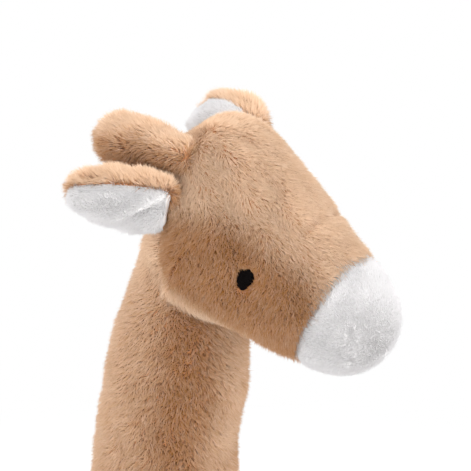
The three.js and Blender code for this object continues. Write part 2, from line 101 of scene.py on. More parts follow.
class GiraffeColours(bpy.types.PropertyGroup):
    tan_tip: colour_property("Tan tips", "Colour of the tan pile at its tips", (0.93, 0.675, 0.47))
    # Painted shade: the darker tip colour where the tan pile stands up, on faces that don't look up
    tan_upright_shade: colour_property(
        "Tan upright shade", "Colour of the tips where the tan pile stands up", (0.56, 0.295, 0.14))
    tan_root: colour_property("Tan roots", "Colour of the tan pile at its roots", (0.44, 0.20, 0.085))
    tan_felt: colour_property(
        "Tan felt", "Colour of the cloth of the body, the legs and the soles", (0.50, 0.285, 0.16))
    white_tip: colour_property("White tips", "Colour of the white pile at its tips", (0.855, 0.84, 0.845))
    white_root: colour_property("White roots", "Colour of the white pile at its roots", (0.81, 0.795, 0.79))
    thread: colour_property("Thread", "Colour of the eyes' thread", (0.002, 0.0015, 0.0015))
    floor: colour_property("Floor", "Colour of the floor", (0.93, 0.93, 0.93))


def sizes():
    return bpy.context.scene.giraffe_sizes


def colours():
    return bpy.context.scene.giraffe_colours


# Small sums over many points


def value_at(rule, points):
    """A rule is one value for all points, or a function that gives each point its own."""
    return rule(points) if callable(rule) else rule


def unit(vectors):
    return vectors / np.maximum(np.linalg.norm(vectors, axis=-1, keepdims=True), 1e-12)


def along_skin(vectors, facing):
    """What is left of vectors once the part that points out of the skin is taken off."""
    return vectors - (vectors * facing).sum(1, keepdims=True) * facing


def smooth_step(low, high, values):
    share = np.clip((values - low) / (high - low), 0, 1)
    return share * share * (3 - 2 * share)


def hump(gap, breadth):
    """A soft bump that is 1 where the gap is nothing and fades away over its breadth."""
    return np.exp(-((gap / breadth) ** 2))


def eased(start, end, share, end_slope=0, span=0):
    """A smooth change of size, level at its start and with a given slope at its end."""
    square = share * share
    cube = square * share
    from_start = start * (2 * cube - 3 * square + 1)
    return from_start + end * (3 * square - 2 * cube) + end_slope * span * (cube - square)


def along_stops(values, stops):
    """Reads a table of (place, amount) stops in millimetres."""
    return np.interp(values, *(MM * np.array(stops).T))


DRIFT_WAVES = 7
DRIFT_RANGE = (0.6, 1.5)
DRIFT_LEVEL = 2.6


def drift(points, size, seed):
    """Soft noise between about -1 and 1 that changes over the given size."""
    rng = np.random.default_rng(seed)
    ways = unit(rng.normal(size=(DRIFT_WAVES, 3))) * (2 * math.pi / size)
    ways = ways * rng.uniform(*DRIFT_RANGE, (DRIFT_WAVES, 1))
    phases = rng.uniform(0, 2 * math.pi, DRIFT_WAVES)
    return np.sin(points @ ways.T + phases).sum(1) / DRIFT_LEVEL


def uneven(points, height, size, seed):
    """Soft unevenness of a stuffed skin, with its height and its size in millimetres."""
    return height * MM * drift(points, size * MM, seed)


# The keys of a small hash, which gives every cell of space its own numbers
CELL_KEYS = np.array([73856093, 19349663, 83492791])
SEED_KEY = 2654435
STEP_KEY = 1103515245
STEP_START = 12345
KEY_MASK = 0x7FFFFFFF
KEY_SHIFT = 13
NUMBER_MASK = 0xFFFF


def nearest_lock(points, size, seed):
    """The middle of the lock that each point gathers to, and a number of that lock from 0 to 1."""
    base = np.floor(points / size).astype(np.int64)
    nearest = np.full(len(points), np.inf)
    middle = np.zeros_like(points)
    number = np.zeros(len(points))
    for step in itertools.product((-1, 0, 1), repeat=3):
        cell = base + np.array(step)
        key = np.bitwise_xor.reduce(cell * CELL_KEYS, axis=1) ^ (seed * SEED_KEY)
        numbers = []
        for turn in range(4):
            key = (key * STEP_KEY + STEP_START + turn) & KEY_MASK
            key ^= key >> KEY_SHIFT
            numbers.append((key & NUMBER_MASK) / (NUMBER_MASK + 1))
        spot = (cell + np.stack(numbers[:3], 1)) * size
        gap = ((points - spot) ** 2).sum(1)
        closer = gap < nearest
        nearest = np.where(closer, gap, nearest)
        middle[closer] = spot[closer]
        number = np.where(closer, numbers[3], number)
    return middle, number


def near_path(points, path):
    """Distance of each point from a path of straight stretches."""
    gap = np.full(len(points), np.inf)
    for start, end in zip(path[:-1], path[1:]):
        run = end - start
        share = np.clip((points - start) @ run / (run @ run), 0, 1)
        gap = np.minimum(gap, np.linalg.norm(points - start - share[:, None] * run, axis=1))
    return gap


# Skins: each is a ball drawn out along a form, a table of reach, half width, half height and rise


def round_form(stations):
    """A turned form through (reach, radius) stations in millimetres, closed at both ends."""
    reach, radius = MM * np.array(stations).T
    run = np.concatenate([[0], np.cumsum(np.hypot(np.diff(reach), np.diff(radius)))])
    at = np.linspace(0, 1, 160) * run[-1]
    along = np.interp(at, run, reach)
    size = np.interp(at, run, radius)
    return along, size, size, np.zeros_like(along)


def swept(form, share):
    """Reach, half width, half height and rise at shares of the form's own length of skin."""
    along, width, height, rise = form
    run = np.concatenate([[0], np.cumsum(np.hypot(np.diff(along), np.diff((width + height) / 2)))])
    at = share * run[-1]
    return [np.interp(at, run, column) for column in (along, width, height, rise)]


def deselect_all():
    bpy.ops.object.select_all(action="DESELECT")


def vertex_values(obj, label):
    flat = np.zeros(3 * len(obj.data.vertices))
    obj.data.vertices.foreach_get(label, flat)
    return flat.reshape(-1, 3)


def coordinates(obj):
    return vertex_values(obj, "co")


def normals(obj):
    return vertex_values(obj, "normal")


def move_to(obj, points):
    obj.data.vertices.foreach_set("co", np.ascontiguousarray(points, dtype=np.float32).ravel())
    obj.data.update()


def press(skin, push, *shifts):
    """Pushes a skin out along its normals, and moves it by each of the shifts."""
    points = coordinates(skin) + normals(skin) * push[:, None]
    for shift in shifts:
        points = points + shift
    move_to(skin, points)


def add_ball(name, segments, rings):
    deselect_all()
    bpy.ops.mesh.primitive_uv_sphere_add(segments=segments, ring_count=rings, radius=1)
    ball = bpy.context.object
    ball.name = name
    ball.data.name = name
    return ball


def oval(along):
    return np.full_like(along, 2.0)


def stuffed_skin(name, form, origin, directions, fineness, fullness=oval):
    """A ball that is drawn out along a form. directions are the form's axis, its width and its height."""
    skin = add_ball(name, *fineness)
    ball = coordinates(skin)
    share = 1 - np.arccos(np.clip(ball[:, 2], -1, 1)) / math.pi
    angle = np.arctan2(ball[:, 1], ball[:, 0])
    along, width, height, rise = swept(form, share)
    axis, wide, high = directions
    level = np.cos(angle)
    upright = np.sin(angle)
    power = 2 / fullness(along)
    level = np.sign(level) * np.abs(level) ** power
    upright = np.sign(upright) * np.abs(upright) ** power
    move_to(skin, origin + np.outer(along, axis) + np.outer(width * level, wide)
            + np.outer(height * upright + rise, high))
    bpy.ops.object.shade_smooth()
    return skin


def split_off(skin, name, place, normal):
    """Closes a copy of a skin behind a plane and keeps what lies ahead of it."""
    deselect_all()
    skin.select_set(True)
    bpy.context.view_layer.objects.active = skin
    bpy.ops.object.duplicate()
    piece = bpy.context.object
    piece.name = name
    piece.data.name = name
    bpy.ops.object.mode_set(mode="EDIT")
    bpy.ops.mesh.select_all(action="SELECT")
    bpy.ops.mesh.bisect(plane_co=place, plane_no=normal, use_fill=True, clear_inner=True)
    bpy.ops.object.mode_set(mode="OBJECT")
    return piece


def cut_apart(skin, names, place, normal):
    """Cuts a skin into a closed piece ahead of a plane and a closed piece behind it."""
    ahead = split_off(skin, names[0], place, normal)
    behind = split_off(skin, names[1], place, -normal)
    bpy.data.objects.remove(skin)
    return ahead, behind


def dress(piece, cloth, body, nodes):
    """Gives a sewn piece its cloth and its body, and hides the solids that it replaces, stuffing among them.
    """
    piece.data.materials.append(bpy.data.materials[cloth["backing"]])
    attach(piece, body)
    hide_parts(*nodes)


# Pile: closed locks of fibre that stand on a skin

MOST_LOCKS = 49000
LOCK_FACES = np.array([[0, 1, 3], [1, 2, 3], [2, 0, 3], [0, 2, 1]])
LOCK_PATCH = np.array([[0.1, 0.12], [0.5, 0.04], [0.9, 0.12], [0.5, 0.92]])
LOCK_SINK = 0.5 * MM

# A face with more corners than this only closes a cut, and is bare
MOST_CORNERS = 5

# Places closer than this count as one when triangles are put in order
ORDER_GRAIN = 0.001 * MM

# How much the locks differ from each other
SWIRL_SIZE = 14 * MM
LEAN_SIZE = 12 * MM
LEAN_DRIFT = 0.08
LEAST_LENGTH = 0.72
LENGTH_SPREAD = 0.34
LOCK_LENGTH_SPREAD = 0.2
WIDTH_RANGE = (0.75, 1.25)
TONE_SPREAD = 0.2
LOCK_TONE_SPREAD = 0.32
# How much the painted upright shade differs from lock to lock
UPRIGHT_SHADE_SPREAD = 0.12

# Shares where the pile stands up, and how much less they are where it lies down
TOUSLE_SHARE = (1.1, 0.5)
CURL_SHARE = (1.35, 1.0)
PULL_SHARE = (1.3, 0.6)
TONE_SHARE = (1.0, 0.45)


def calmed(share, lying):
    standing, less = share
    return standing - less * lying


def in_order(corners, places):
    """Triangles in an order of their places, because the faces of a new ball come in no fixed order."""
    rank = np.argsort(np.lexsort(np.round(places / ORDER_GRAIN).T))
    first = np.argmin(rank[corners], axis=1)[:, None]
    corners = np.take_along_axis(corners, (first + np.arange(3)) % 3, axis=1)
    return corners[np.lexsort(rank[corners].T)]


def skin_triangles(skin):
    """Corner places and normals of a skin's triangles, leaving out flat closing faces."""
    mesh = skin.data
    mesh.calc_loop_triangles()
    count = len(mesh.loop_triangles)
    corners = np.zeros(3 * count, np.int32)
    owner = np.zeros(count, np.int32)
    mesh.loop_triangles.foreach_get("vertices", corners)
    mesh.loop_triangles.foreach_get("polygon_index", owner)
    corner_counts = np.zeros(len(mesh.polygons), np.int32)
    mesh.polygons.foreach_get("loop_total", corner_counts)
    corners = in_order(corners.reshape(-1, 3)[corner_counts[owner] <= MOST_CORNERS], coordinates(skin))
    return coordinates(skin)[corners], normals(skin)[corners]


def scatter(skin, density, rng):
    """Roots spread over a skin at so many to the square millimetre, with the skin's normals."""
    places, facings = skin_triangles(skin)
    area = np.linalg.norm(np.cross(places[:, 1] - places[:, 0], places[:, 2] - places[:, 0]), axis=1) / 2
    share = 1.0
    expected = area / MM ** 2 * (value_at(density, places.mean(1)) * share)
    reach = np.cumsum(expected)
    total = int(reach[-1])
    drawn = (np.arange(total) + rng.uniform(0, 1, total)) / total * reach[-1]
    chosen = np.minimum(np.searchsorted(reach, drawn), len(places) - 1)
    root = np.sqrt(rng.uniform(0, 1, total))
    other = rng.uniform(0, 1, total)
    weights = np.stack([1 - root, root * (1 - other), root * other], 1)[:, :, None]
    return (places[chosen] * weights).sum(1), unit((facings[chosen] * weights).sum(1))


def facing_up(points, facing):
    """Where the pile lies down: 1 on faces that look up, 0 on upright faces and below, where the pile's
    colour is also painted darker as shade.
    """
    return smooth_step(-0.05, 0.5, facing[:, 2])


class Coat:
    """How the pile of one cloth stands. lean is its slope where it stands up and where it lies down.

    comb is the way that it is brushed. lock is the distance between the places that it gathers to,
    pull is how far it does, and tousle, swirl and curl are how much it strays from the comb by itself,
    over a wide patch and from lock to lock.
    """

    def __init__(self, length, width, lean, comb, lock, pull=0.15, tousle=0.3, swirl=0.5, curl=0.5,
                 lying=facing_up, breadth=1.0):
        self.length = length
        self.width = width
        self.lean = lean
        self.comb = comb
        self.lock = lock
        self.pull = pull
        self.tousle = tousle
        self.swirl = swirl
        self.curl = curl
        self.lying = lying
        self.breadth = breadth


def grow(name, skin, cloth, body, coat, density, seed, keep=None, trim=1.0, parts_along=X):
    """Grows a coat on a skin, as pieces of at most MOST_LOCKS locks each."""
    rng = np.random.default_rng(seed)
    roots, facing = scatter(skin, density, rng)
    if keep is not None:
        kept = keep(roots)
        roots, facing = roots[kept], facing[kept]
    count = len(roots)
    lying = coat.lying(roots, facing)
    comb = unit(along_skin(value_at(coat.comb, roots), facing))
    middle, number = nearest_lock(roots, coat.lock, seed + 3)
    tousle = coat.tousle * calmed(TOUSLE_SHARE, lying)
    turn = coat.swirl * drift(roots, SWIRL_SIZE, seed + 1) + tousle * rng.normal(size=count)
    turn += 2 * coat.curl * (number - 0.5) * calmed(CURL_SHARE, lying)
    flow = comb * np.cos(turn)[:, None] + np.cross(facing, comb) * np.sin(turn)[:, None]
    lean = coat.lean[0] + (coat.lean[1] - coat.lean[0]) * lying
    lean += LEAN_DRIFT * drift(roots, LEAN_SIZE, seed + 2)
    lean += 0.5 * tousle * rng.normal(size=count)
    axis = facing * np.cos(lean)[:, None] + flow * np.sin(lean)[:, None]
    length = LEAST_LENGTH + LENGTH_SPREAD * rng.uniform(size=count) + LOCK_LENGTH_SPREAD * (number - 0.5)
    length = coat.length * length * value_at(trim, roots)
    pull = coat.pull * calmed(PULL_SHARE, lying)
    tips = roots + axis * length[:, None] + pull[:, None] * along_skin(middle - roots, facing)
    axis = unit(tips - roots)
    side = unit(np.cross(axis, rng.normal(size=(count, 3))))
    other = np.cross(axis, side)
    radius = coat.width * rng.uniform(*WIDTH_RANGE, count) / math.sqrt(3) * value_at(coat.breadth, roots)
    tone = LOCK_TONE_SPREAD * (number - 0.5) + TONE_SPREAD * rng.normal(size=count)
    tone = np.clip(0.5 + tone * calmed(TONE_SHARE, lying), 0, 1)
    # Painted shade: the upright share, 1 where the pile stands up, darkens the lock's colour and lets its
    # roots show
    upright_shade = np.clip(1 - lying + UPRIGHT_SHADE_SPREAD * rng.normal(size=count), 0, 1)
    corners = np.zeros((count, 4, 3))
    for k in range(3):
        angle = 2 * math.pi * k / 3
        corners[:, k] = roots - facing * LOCK_SINK + radius[:, None] * (
            math.cos(angle) * side + math.sin(angle) * other)
    corners[:, 3] = tips
    order = np.argsort(roots @ parts_along)
    for k, chosen in enumerate(np.array_split(order, max(1, math.ceil(count / MOST_LOCKS)))):
        piece = lock_mesh(f"{name}_{k + 1}", corners[chosen], {"tone": tone[chosen], "upright_shade": upright_shade[chosen]})
        piece.data.materials.append(bpy.data.materials[cloth["pile"]])
        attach(piece, body)


def lock_mesh(name, corners, shades):
    """One mesh of three-sided locks, each closed, with its own patch of the map and its own shades."""
    count = len(corners)
    mesh = bpy.data.meshes.new(name)
    mesh.vertices.add(4 * count)
    mesh.vertices.foreach_set("co", corners.astype(np.float32).ravel())
    faces = (LOCK_FACES[None] + 4 * np.arange(count)[:, None, None]).reshape(-1)
    mesh.loops.add(len(faces))
    mesh.loops.foreach_set("vertex_index", faces.astype(np.int32))
    mesh.polygons.add(4 * count)
    mesh.polygons.foreach_set("loop_start", (3 * np.arange(4 * count)).astype(np.int32))
    mesh.polygons.foreach_set("use_smooth", np.ones(4 * count, bool))
    mesh.update(calc_edges=True)
    values = {"tip": np.tile([0.0, 0.0, 0.0, 1.0], count)}
    for label, shade in shades.items():
        values[label] = np.repeat(shade, 4)
    for label, each in values.items():
        mesh.attributes.new(label, "FLOAT", "POINT").data.foreach_set("value", each.astype(np.float32))
    across = math.ceil(math.sqrt(count))
    cell = np.stack([np.arange(count) % across, np.arange(count) // across], 1)
    patch = (cell[:, None] + LOCK_PATCH[None]) / across
    layer = mesh.uv_layers.new(name="OFBake")
    layer.uv.foreach_set("vector", patch[:, LOCK_FACES].astype(np.float32).ravel())
    piece = bpy.data.objects.new(name, mesh)
    bpy.context.scene.collection.objects.link(piece)
    return piece


# Materials


def opaque(colour):
    return (*colour, 1)


def feed(tree, term, socket):
    """Sets a socket to a number or a colour, or joins another node's output to it."""
    if isinstance(term, bpy.types.NodeSocket):
        tree.links.new(term, socket)
    else:
        socket.default_value = term


def feed_all(tree, node, terms):
    for label, term in terms.items():
        feed(tree, term, node.inputs[label])


def new_node(tree, kind, terms):
    node = tree.nodes.new(kind)
    feed_all(tree, node, terms)
    return node


def math_node(tree, operation, *terms):
    node = tree.nodes.new("ShaderNodeMath")
    node.operation = operation
    for socket, term in zip(node.inputs, terms):
        feed(tree, term, socket)
    return node.outputs[0]


def mix_colour(tree, factor, first, second, blend="MIX"):
    mix = tree.nodes.new("ShaderNodeMix")
    mix.data_type = "RGBA"
    mix.blend_type = blend
    feed_all(tree, mix, {"Factor": factor, "A": first, "B": second})
    return mix.outputs["Result"]


def object_place(tree):
    return tree.nodes.new("ShaderNodeTexCoord").outputs["Object"]


def noise(tree, scale, detail=3.0):
    node = new_node(
        tree, "ShaderNodeTexNoise", {"Scale": scale, "Detail": detail, "Vector": object_place(tree)})
    return node.outputs["Fac"]


def attribute(tree, name):
    node = tree.nodes.new("ShaderNodeAttribute")
    node.attribute_name = name
    return node.outputs["Fac"]


def new_group(name, inputs, output):
    """A node group with numbers and colours as its inputs, given with their defaults, and one colour out."""
    group = bpy.data.node_groups.new(name, "ShaderNodeTree")
    for label, default in inputs.items():
        kind = "NodeSocketFloat" if isinstance(default, float) else "NodeSocketColor"
        group.interface.new_socket(label, in_out="INPUT", socket_type=kind).default_value = default
    group.interface.new_socket(output, in_out="OUTPUT", socket_type="NodeSocketColor")
    given = group.nodes.new("NodeGroupInput")
    result = group.nodes.new("NodeGroupOutput")
    return group, given.outputs, result.inputs[output]


TIP_POWER = 0.7
# Painted light: the share by which the roots are painted lighter where the pile lies down
LYING_ROOT_LIGHT = 0.65
PATCH_SCALE = 55.0


def pile_shade_group():
    """Colour of a lock of pile from its root to its tip, with its own tone and soft patches, and with painted
    shade: where the pile stands up its tips are painted darker and its roots show, and where it lies down its
    roots are painted lighter.
    """
    group, given, result = new_group(
        "Pile shade",
        {
            "Root": (0.5, 0.5, 0.5, 1), "Tip": (0.8, 0.8, 0.8, 1), "Shaded Upright Tip": (0.7, 0.7, 0.7, 1),
            "Tone Change": 0.2, "Patch Change": 0.1,
        },
        "Colour")
    tone = attribute(group, "tone")
    upright_shade = attribute(group, "upright_shade")
    # Painted shade and light: tips darken towards the upright colour and the roots show where the pile stands
    # up, and the roots are painted lighter where it lies down
    lying_root_light = math_node(group, "MULTIPLY_ADD", upright_shade, -LYING_ROOT_LIGHT, LYING_ROOT_LIGHT)
    base = mix_colour(group, lying_root_light, given["Root"], given["Tip"])
    end = mix_colour(group, upright_shade, given["Tip"], given["Shaded Upright Tip"])
    tipward = math_node(group, "POWER", attribute(group, "tip"), TIP_POWER)
    value = 1.0
    for source, strength in ((tone, "Tone Change"), (noise(group, PATCH_SCALE), "Patch Change")):
        centred = math_node(group, "SUBTRACT", source, 0.5)
        value = math_node(group, "MULTIPLY_ADD", centred, given[strength], value)
    final = new_node(group, "ShaderNodeHueSaturation", {
        "Saturation": math_node(group, "MULTIPLY_ADD", tone, -0.5, 1.25),
        "Value": value,
        "Color": mix_colour(group, tipward, base, end),
    })
    feed(group, final.outputs["Color"], result)


def new_material(name, finish):
    """A material with its shader's inputs set to a finish."""
    material = bpy.data.materials.new(name)
    material.use_nodes = True
    tree = material.node_tree
    shader = tree.nodes["Principled BSDF"]
    feed_all(tree, shader, finish)
    return material, tree, shader


def pile_material(name, shades, sheen, tint, light_through):
    """Fine fibres, which let part of the light through."""
    _, tree, shader = new_material(name, {
        "Roughness": 0.85, "Specular IOR Level": 0.15, "Sheen Weight": sheen, "Sheen Roughness": 0.45,
        "Sheen Tint": opaque(tint),
    })
    shade = tree.nodes.new("ShaderNodeGroup")
    shade.node_tree = bpy.data.node_groups["Pile shade"]
    feed_all(tree, shade, shades)
    feed(tree, shade.outputs["Colour"], shader.inputs["Base Color"])
    through = new_node(tree, "ShaderNodeBsdfTranslucent", {"Color": shade.outputs["Colour"]})
    both = new_node(tree, "ShaderNodeMixShader", {"Fac": light_through})
    feed(tree, shader.outputs["BSDF"], both.inputs[1])
    feed(tree, through.outputs["BSDF"], both.inputs[2])
    feed(tree, both.outputs["Shader"], tree.nodes["Material Output"].inputs["Surface"])


def backing_material(name, colour):
    """Knitted backing cloth, which shows only between the locks of pile."""
    _, tree, shader = new_material(name, {"Roughness": 0.95, "Specular IOR Level": 0.15})
    patches = mix_colour(tree, 0.35, opaque(colour), noise(tree, 120.0), "MULTIPLY")
    knit = new_node(
        tree, "ShaderNodeBump", {"Strength": 0.4, "Distance": 0.2 * MM, "Height": noise(tree, 900.0, 2.0)})
    feed_all(tree, shader, {"Base Color": patches, "Normal": knit.outputs["Normal"]})


def thread_material(name, colour):
    """Black thread with paler speckles, which are painted highlights of its fibres."""
    _, tree, shader = new_material(name, {"Roughness": 0.9, "Specular IOR Level": 0.03})
    fibre_glints = mix_colour(tree, noise(tree, 2500.0, 2.0), opaque(colour), opaque(3 * part for part in colour))
    feed(tree, fibre_glints, shader.inputs["Base Color"])


class GIRAFFE_OT_cloths(bpy.types.Operator):
    """Mixes the pile, backing and thread materials"""

    bl_idname = "giraffe.cloths"
    bl_label = "Cloths"

    def execute(self, context):
        tones = colours()
        pile_shade_group()
        # Painted shade: the tan pile's tips get a darker colour where it stands up
        pile_material(
            "Tan pile",
            {
                "Root": opaque(tones.tan_root), "Tip": opaque(tones.tan_tip),
                "Shaded Upright Tip": opaque(tones.tan_upright_shade), "Tone Change": 0.35, "Patch Change": 0.15,
            },
            sheen=0.15, tint=(1.0, 0.93, 0.86), light_through=0.2)
        pile_material(
            "White pile",
            {
                "Root": opaque(tones.white_root), "Tip": opaque(tones.white_tip),
                "Shaded Upright Tip": opaque(tones.white_tip), "Tone Change": 0.05, "Patch Change": 0.02,
            },
            sheen=0.1, tint=(1, 1, 1), light_through=0.25)
        backing_material("Tan backing", [1.5 * part for part in tones.tan_root])
        backing_material("White backing", tones.white_root)
        backing_material("Tan felt", tones.tan_felt)
        thread_material("Black thread", tones.thread)
        return {"FINISHED"}


# Head

CROWN_REACH = -10.5 * MM
CROWN_BACK = 20.5 * MM
BACK_BLUNTNESS = 0.84
CROWN_HALF_WIDTH = 24 * MM
CROWN_HALF_HEIGHT = 35.2 * MM
CROWN_RISE = -1.2 * MM
MUZZLE_REACH = 46.3 * MM
MUZZLE_RADIUS = 20.3 * MM
MUZZLE_RISE = 3.0 * MM
BRIDGE_SLOPE = 0.16
NOSE_BLUNTNESS = 1.07
ROUND = 2.1
BROAD = 2.6


def head_fullness(along):
    """How square the head is round its axis: 2 is an oval, more is fuller."""
    return BROAD + (ROUND - BROAD) * np.clip((along - CROWN_REACH) / (MUZZLE_REACH - CROWN_REACH), 0, 1)


def head_form():
    """The head with its muzzle, from the back of the crown to the nose."""
    muzzle = MUZZLE_RADIUS - SKIN_INSET
    join = math.atan(BRIDGE_SLOPE)
    turn = np.linspace(0, math.pi / 2, 60)
    share = np.linspace(0, 1, 90)[1:]
    nose = np.linspace(join, math.pi / 2, 50)[1:]
    run = MUZZLE_REACH + muzzle * math.sin(join) * NOSE_BLUNTNESS - CROWN_REACH
    along = np.concatenate([
        CROWN_REACH - (CROWN_BACK - SKIN_INSET) * np.cos(turn) ** BACK_BLUNTNESS, CROWN_REACH + run * share,
        MUZZLE_REACH + NOSE_BLUNTNESS * muzzle * np.sin(nose)])
    width, height = (
        np.concatenate([
            size * np.sin(turn) ** BACK_BLUNTNESS,
            eased(size, muzzle * math.cos(join), share, -BRIDGE_SLOPE, run), muzzle * np.cos(nose)])
        for size in (CROWN_HALF_WIDTH - SKIN_INSET, CROWN_HALF_HEIGHT - SKIN_INSET))
    rise = CROWN_RISE + (MUZZLE_RISE - CROWN_RISE) * np.clip(along / MUZZLE_REACH, 0, 1)
    return along, width, height, rise


def head_place(points):
    """Reach, side and rise of points from the middle of the crown."""
    away = points - CROWN
    return away @ FORWARD, away @ Y, away @ UP


def on_head(reach, side, rise):
    return CROWN + reach * FORWARD + side * Y + rise * UP


def head_section(reach):
    """Half width, half height and middle of the head's skin at a reach."""
    along, *columns = head_form()
    return [np.interp(reach, along, column) for column in columns]


def on_skin(reach, rise, side, sunk=0):
    """A place on one side of the head's skin, or so far inside it."""
    wide, high, middle = head_section(reach)
    share = abs(rise - middle) / high
    power = head_fullness(reach)
    beside = wide * max(0, 1 - share ** power) ** (1 / power)
    return on_head(reach, side * (beside - sunk), rise)


def head_path(stations, side):
    """A path on the head's skin through (reach, rise) stations in millimetres."""
    return np.array([on_skin(reach * MM, rise * MM, side) for reach, rise in stations])


MUZZLE_SEAM = 43.4 * MM
SEAM_SLANT = math.radians(7)
SEAM_NORMAL = FORWARD * math.cos(SEAM_SLANT) + UP * math.sin(SEAM_SLANT)


def ahead_of_seam(points):
    """How far each point lies in front of the muzzle's seam."""
    reach, _, rise = head_place(points)
    return (reach - MUZZLE_SEAM) * math.cos(SEAM_SLANT) + rise * math.sin(SEAM_SLANT)


# Creases run through (reach, rise) stations, and have a depth and a breadth, all in millimetres
GUSSET_SEAM = [
    (-11.2, 17.9), (-4.4, 19), (2.1, 20.1), (7, 22.1), (11.3, 22.7), (16.8, 21.9), (23.2, 20.6), (34, 20.5)]
BRIDGE_CREASE = [(23.8, 22.9), (23.8, 24.5), (23.4, 25.4)]
BROW_CREASE = [(-8.5, 18.9), (-5, 19.7)]
DART = [(55.8, 10.5), (58.4, 5.2), (60.2, 0.2)]
CREASES = [(GUSSET_SEAM, 0.6, 3.4), (BRIDGE_CREASE, 0.8, 1.7), (BROW_CREASE, 0.35, 1.0), (DART, 0.6, 1.1)]

SEAM_DEPTH = 0.6 * MM
SEAM_BREADTH = 1.6 * MM
ROLL_HEIGHT = 0.9 * MM
ROLL_PLACE = 4.5 * MM
ROLL_BREADTH = 4 * MM
EYE_REACH = 19.6 * MM
EYE_RISE = 2.4 * MM
HOLLOW_DEPTH = 1.6 * MM
HOLLOW_BREADTH = 5.5 * MM
BACK_TUCK = 12.5 * MM
JAW_TUCK = 4 * MM
JAW_LINE = [(-14, 0), (-4, -2.4), (2, -3.2), (8, -2.4), (16, 1.4), (27, 3.2), (40, 0)]
MUZZLE_EVENNESS = 0.7

# Where each change of the head starts, and where it is whole
MUZZLE_START = (-3 * MM, 3 * MM)
BACK_RISE = (12 * MM, -6 * MM)
JAW_RISE = (0, -20 * MM)
TUCK_REACH = (2 * MM, -20 * MM)
JAW_LINE_RISE = (-6 * MM, -22 * MM)


def shape_head(skin):
    """Presses the seams, the creases and the hollows round the eyes into the head, and tucks its back."""
    points = coordinates(skin)
    push = uneven(points, 0.25, 24, 5) + uneven(points, 0.12, 10, 6)
    ahead = ahead_of_seam(points)
    push = push * (1 - MUZZLE_EVENNESS * smooth_step(*MUZZLE_START, ahead))
    push += ROLL_HEIGHT * hump(ahead - ROLL_PLACE, ROLL_BREADTH)
    push -= SEAM_DEPTH * hump(ahead, SEAM_BREADTH)
    for side in SIDES.values():
        eye = on_skin(EYE_REACH, EYE_RISE, side)
        push -= HOLLOW_DEPTH * hump(np.linalg.norm(points - eye, axis=1), HOLLOW_BREADTH)
        for path, depth, breadth in CREASES:
            push -= depth * MM * hump(near_path(points, head_path(path, side)), breadth * MM)
    reach, _, rise = head_place(points)
    tuck = BACK_TUCK * smooth_step(*BACK_RISE, rise) + JAW_TUCK * smooth_step(*JAW_RISE, rise)
    tuck = tuck * smooth_step(*TUCK_REACH, reach)
    lift = along_stops(reach, JAW_LINE) * smooth_step(*JAW_LINE_RISE, rise)
    press(skin, push, np.outer(tuck, FORWARD), np.outer(lift, UP))


NAP_DROP = 0.3
NAP_RISE = (24 * MM, -10 * MM)


def nap_of_head(points):
    """The tan pile lies forwards and a little down the sides."""
    _, _, rise = head_place(points)
    down = -NAP_DROP - NAP_DROP * smooth_step(*NAP_RISE, rise)
    return FORWARD + down[:, None] * UP


# The pile of the head lies down above an edge, given as (reach, rise) stops in millimetres, and under the
# jaw; below the edge its colour is painted darker as shade
LYING_EDGE = [
    (-12, 4), (-6, 8), (0, 12), (8, 15.5), (14, 16.5), (20, 15.5), (26, 15), (31, 15.5), (36, 14.5),
    (40, 12.5), (46, 11)]
LYING_BLEND = 7.5 * MM
LYING_JAW = (-14 * MM, -24 * MM)

# The neck's pile is left out inside this squared share of the head's section, ahead of the head's back
BURIED = 0.35
BEHIND_HEAD = -12 * MM


def lying_on_head(points, facing):
    """The pile lies down over the forehead and the crown and under the jaw, and stands up on the cheeks,
    where its colour is also painted darker as shade.
    """
    reach, _, rise = head_place(points)
    edge = along_stops(reach, LYING_EDGE)
    top = smooth_step(edge - LYING_BLEND, edge + LYING_BLEND, rise)
    jaw = smooth_step(*LYING_JAW, rise)
    return np.maximum(top, jaw)


def outside_head(points):
    """Where the neck's pile isn't buried inside the head."""
    reach, side, rise = head_place(points)
    wide, high, middle = head_section(reach)
    level = side / np.maximum(wide, 1e-6)
    upright = (rise - middle) / np.maximum(high, 1e-6)
    return (level ** 2 + upright ** 2 > BURIED) | (reach < BEHIND_HEAD)


# Pile by the muzzle's seam: the tan is bare here and there, where longer white tufts reach over it
SEAM_TUFT_SIZE = 3 * MM
SEAM_TUFT_REACH = 0.8
SEAM_TUFT_LENGTHENING = 0.8
SEAM_TUFT_PLACE = (4 * MM, 0.5 * MM)
SEAM_BARE = 0.6


def tan_at_seam(points):
    return ahead_of_seam(points) < (SEAM_TUFT_REACH * drift(points, SEAM_TUFT_SIZE, 17) - SEAM_BARE) * MM


def white_at_seam(points):
    return 1 + SEAM_TUFT_LENGTHENING * smooth_step(*SEAM_TUFT_PLACE, ahead_of_seam(points))


